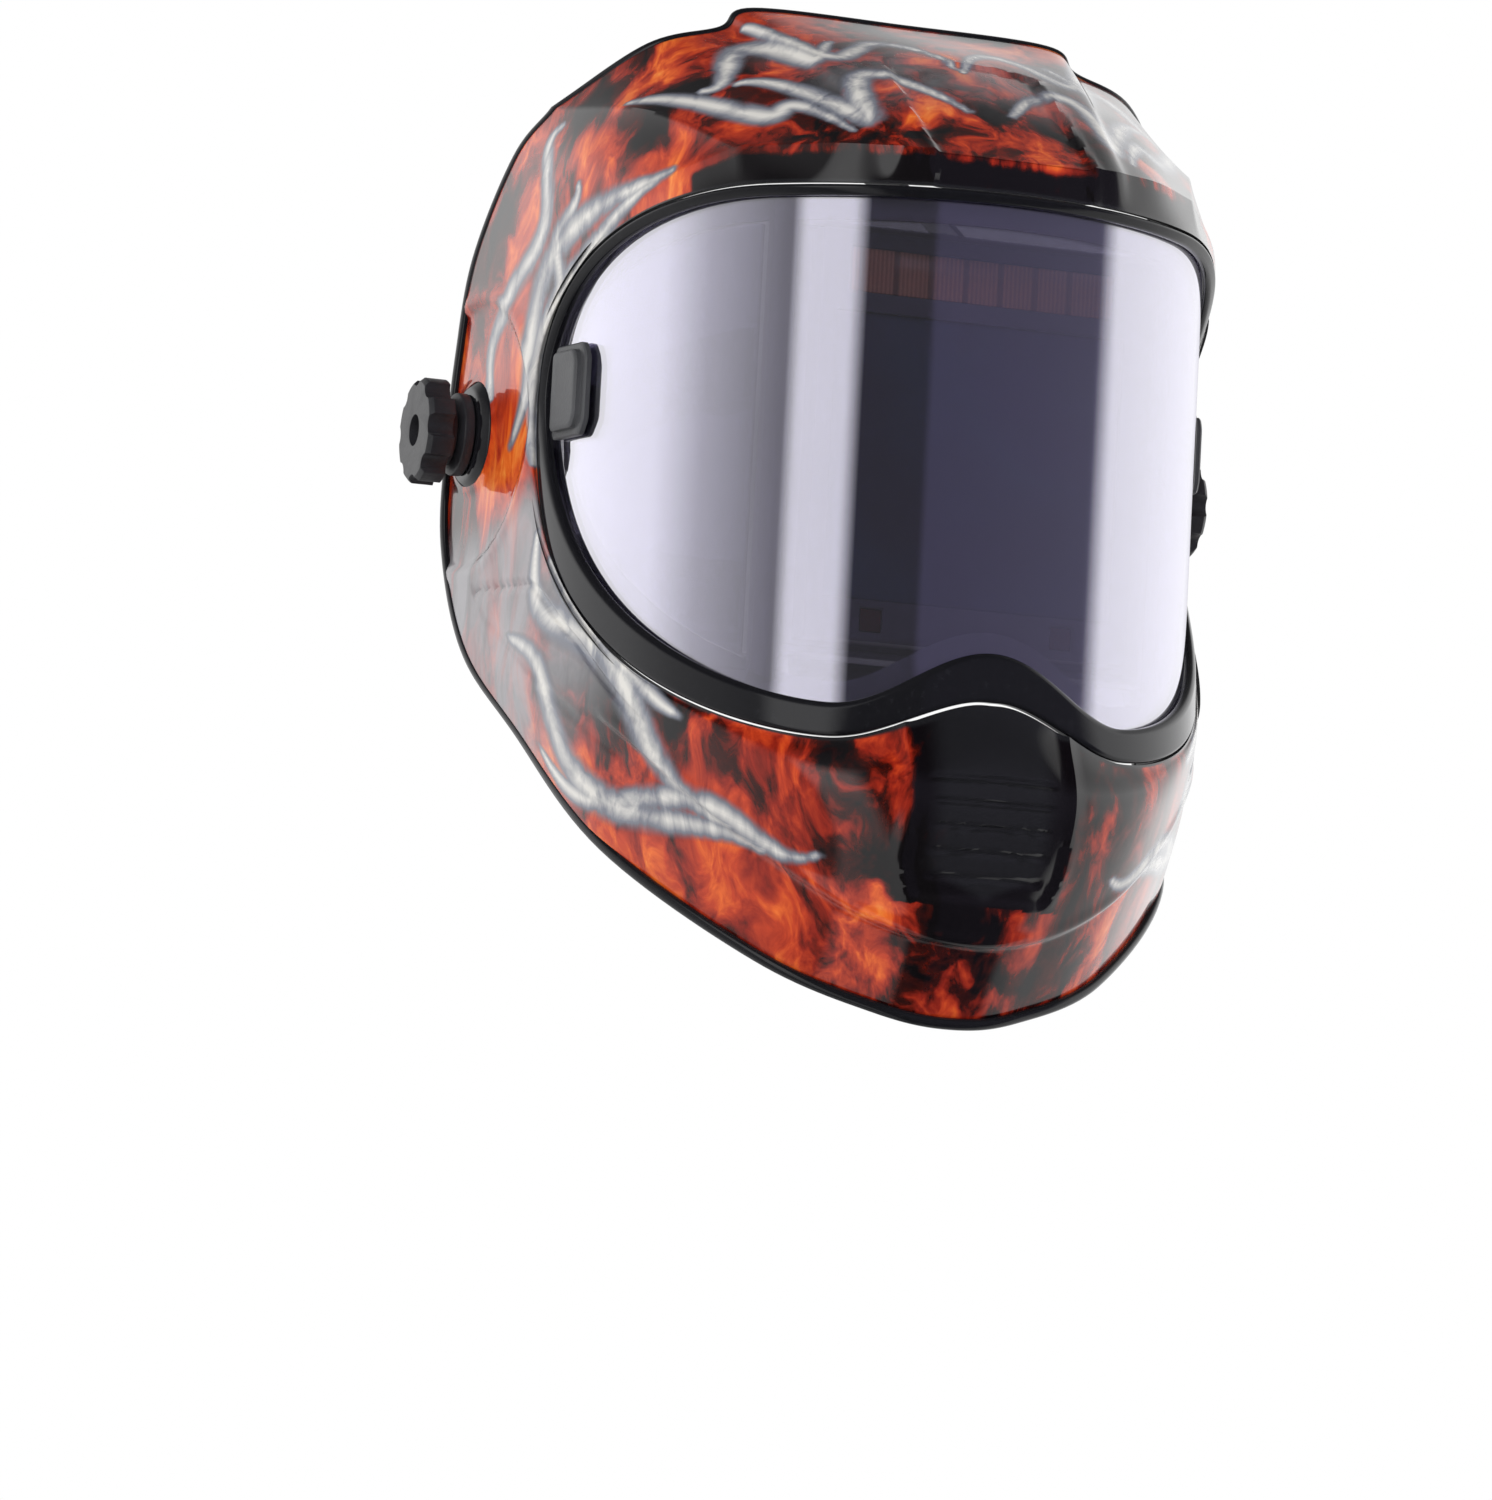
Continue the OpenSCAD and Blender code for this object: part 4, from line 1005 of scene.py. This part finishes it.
# ---- Camera, floor and light ----
FLOOR_HALF, FLOOR_Z = 7, -0.6


def camera():
    """A long lens, low and to the wearer's right, slightly rolled."""
    yaw, rise, roll = math.radians(-20), math.radians(-5.8), math.radians(3.07)
    distance, focal_share, right_shift, up_shift = 2.370, 6900 / 1500, 0.02164, 0.09559
    back = Vector((math.sin(yaw) * math.cos(rise), -math.cos(yaw) * math.cos(rise), math.sin(rise)))
    level = Vector((math.cos(yaw), math.sin(yaw), 0))
    high = back.cross(level)
    right = level * math.cos(roll) + high * math.sin(roll)
    up = high * math.cos(roll) - level * math.sin(roll)
    data = bpy.data.cameras.new("camera")
    data.sensor_width, data.lens = 36, 36 * focal_share
    data.clip_end = 50
    rig = bpy.data.objects.new("camera", data)
    turn = Matrix((right, up, back)).transposed().to_4x4()
    rig.matrix_world = Matrix.Translation(back * distance - right * right_shift - up * up_shift) @ turn
    bpy.context.scene.collection.objects.link(rig)
    bpy.context.scene.camera = rig


def floor():
    form = bmesh.new()
    bmesh.ops.create_grid(form, x_segments=8, y_segments=8, size=FLOOR_HALF)
    mesh = bpy.data.meshes.new("floor")
    form.to_mesh(mesh)
    form.free()
    plane = bpy.data.objects.new("floor", mesh)
    plane.location.z = FLOOR_Z
    bpy.context.scene.collection.objects.link(plane)
    n = new_nodes("floor_pale")
    mesh.materials.append(n.surface(Base_Color=(0.86, 0.86, 0.86), Roughness=0.9))
    plane.visible_glossy = False


# Brightness of the studio round the object by azimuth in degrees: 0 in front, positive to the wearer's left
SCREENS = [
    (-180, 0.5), (-150, 1.4), (-108, 1.3), (-90, 0.7), (-62, 0.28), (-57, 1.4), (-40, 1.4), (-34, 0.05),
    (-10, 0.05), (-7, (0.105, 0.1, 0.14)), (65, (0.12, 0.115, 0.155)), (74, 1.2), (140, 1.2), (165, 0.5),
    (180, 0.5),
]
# Its share by height, from straight down at 0 to straight up at 1
HEIGHTS = [(0.0, 0.35), (0.4, 0.8), (0.5, 1.0), (0.7, 1.0), (0.86, 0.12), (1.0, 0.05)]
BEHIND_VISOR = 0.1


def studio():
    """White to the camera, dim behind the clear visor; to the object, bright screens with dark gaps."""
    world = bpy.data.worlds.new("studio")
    bpy.context.scene.world = world
    n = Nodes(world)
    parts = n.add("ShaderNodeSeparateXYZ")
    n.link(n.space.outputs["Generated"], parts.inputs[0])
    x, y, z = parts.outputs
    azimuth = n.math("ARCTAN2", x, n.math("MULTIPLY", y, -1.0))
    turn = n.math("MULTIPLY_ADD", azimuth, 1 / math.tau, 0.5)
    screens = n.ramp(turn, [((a + 180) / 360, level) for a, level in SCREENS])
    band = n.ramp(n.math("MULTIPLY_ADD", z, 0.5, 0.5), HEIGHTS)
    light = n.add("ShaderNodeBackground")
    n.link(n.mix(1.0, screens, band, "MULTIPLY"), light.inputs["Color"])
    white = n.add("ShaderNodeBackground")
    white.inputs["Color"].default_value = (1, 1, 1, 1)
    pick = n.add("ShaderNodeMixShader")
    rays = n.add("ShaderNodeLightPath")
    dimming = n.math("MULTIPLY_ADD", rays.outputs["Is Camera Ray"], BEHIND_VISOR - 1, 1.0)
    n.link(dimming, light.inputs["Strength"])
    direct = n.math("SUBTRACT", rays.outputs["Is Camera Ray"], rays.outputs["Transparent Depth"], clamp=True)
    for source, socket in ((direct, 0), (light.outputs[0], 1), (white.outputs[0], 2)):
        n.link(source, pick.inputs[socket])
    n.show(pick, "ShaderNodeOutputWorld")


def lamp(name, place_at, aim, size, watts):
    data = bpy.data.lights.new(name, "AREA")
    data.shape, data.size, data.energy = "DISK", size, watts
    rig = bpy.data.objects.new(name, data)
    rig.location = place_at
    rig.rotation_euler = (Vector(aim) - Vector(place_at)).to_track_quat("-Z", "Y").to_euler()
    rig.visible_glossy = rig.visible_camera = False
    bpy.context.scene.collection.objects.link(rig)


camera()
floor()
studio()
lamp("key", (-1.6, -2.2, 1.8), (0, -0.05, 0), 1.6, 60)
lamp("fill", (1.9, -1.8, 0.9), (0, -0.05, 0), 1.8, 26)
lamp("back", (0.3, 2.6, 1.9), (0, 0.1, 0), 2.0, 80)
bpy.context.scene.view_settings.view_transform = "Standard"
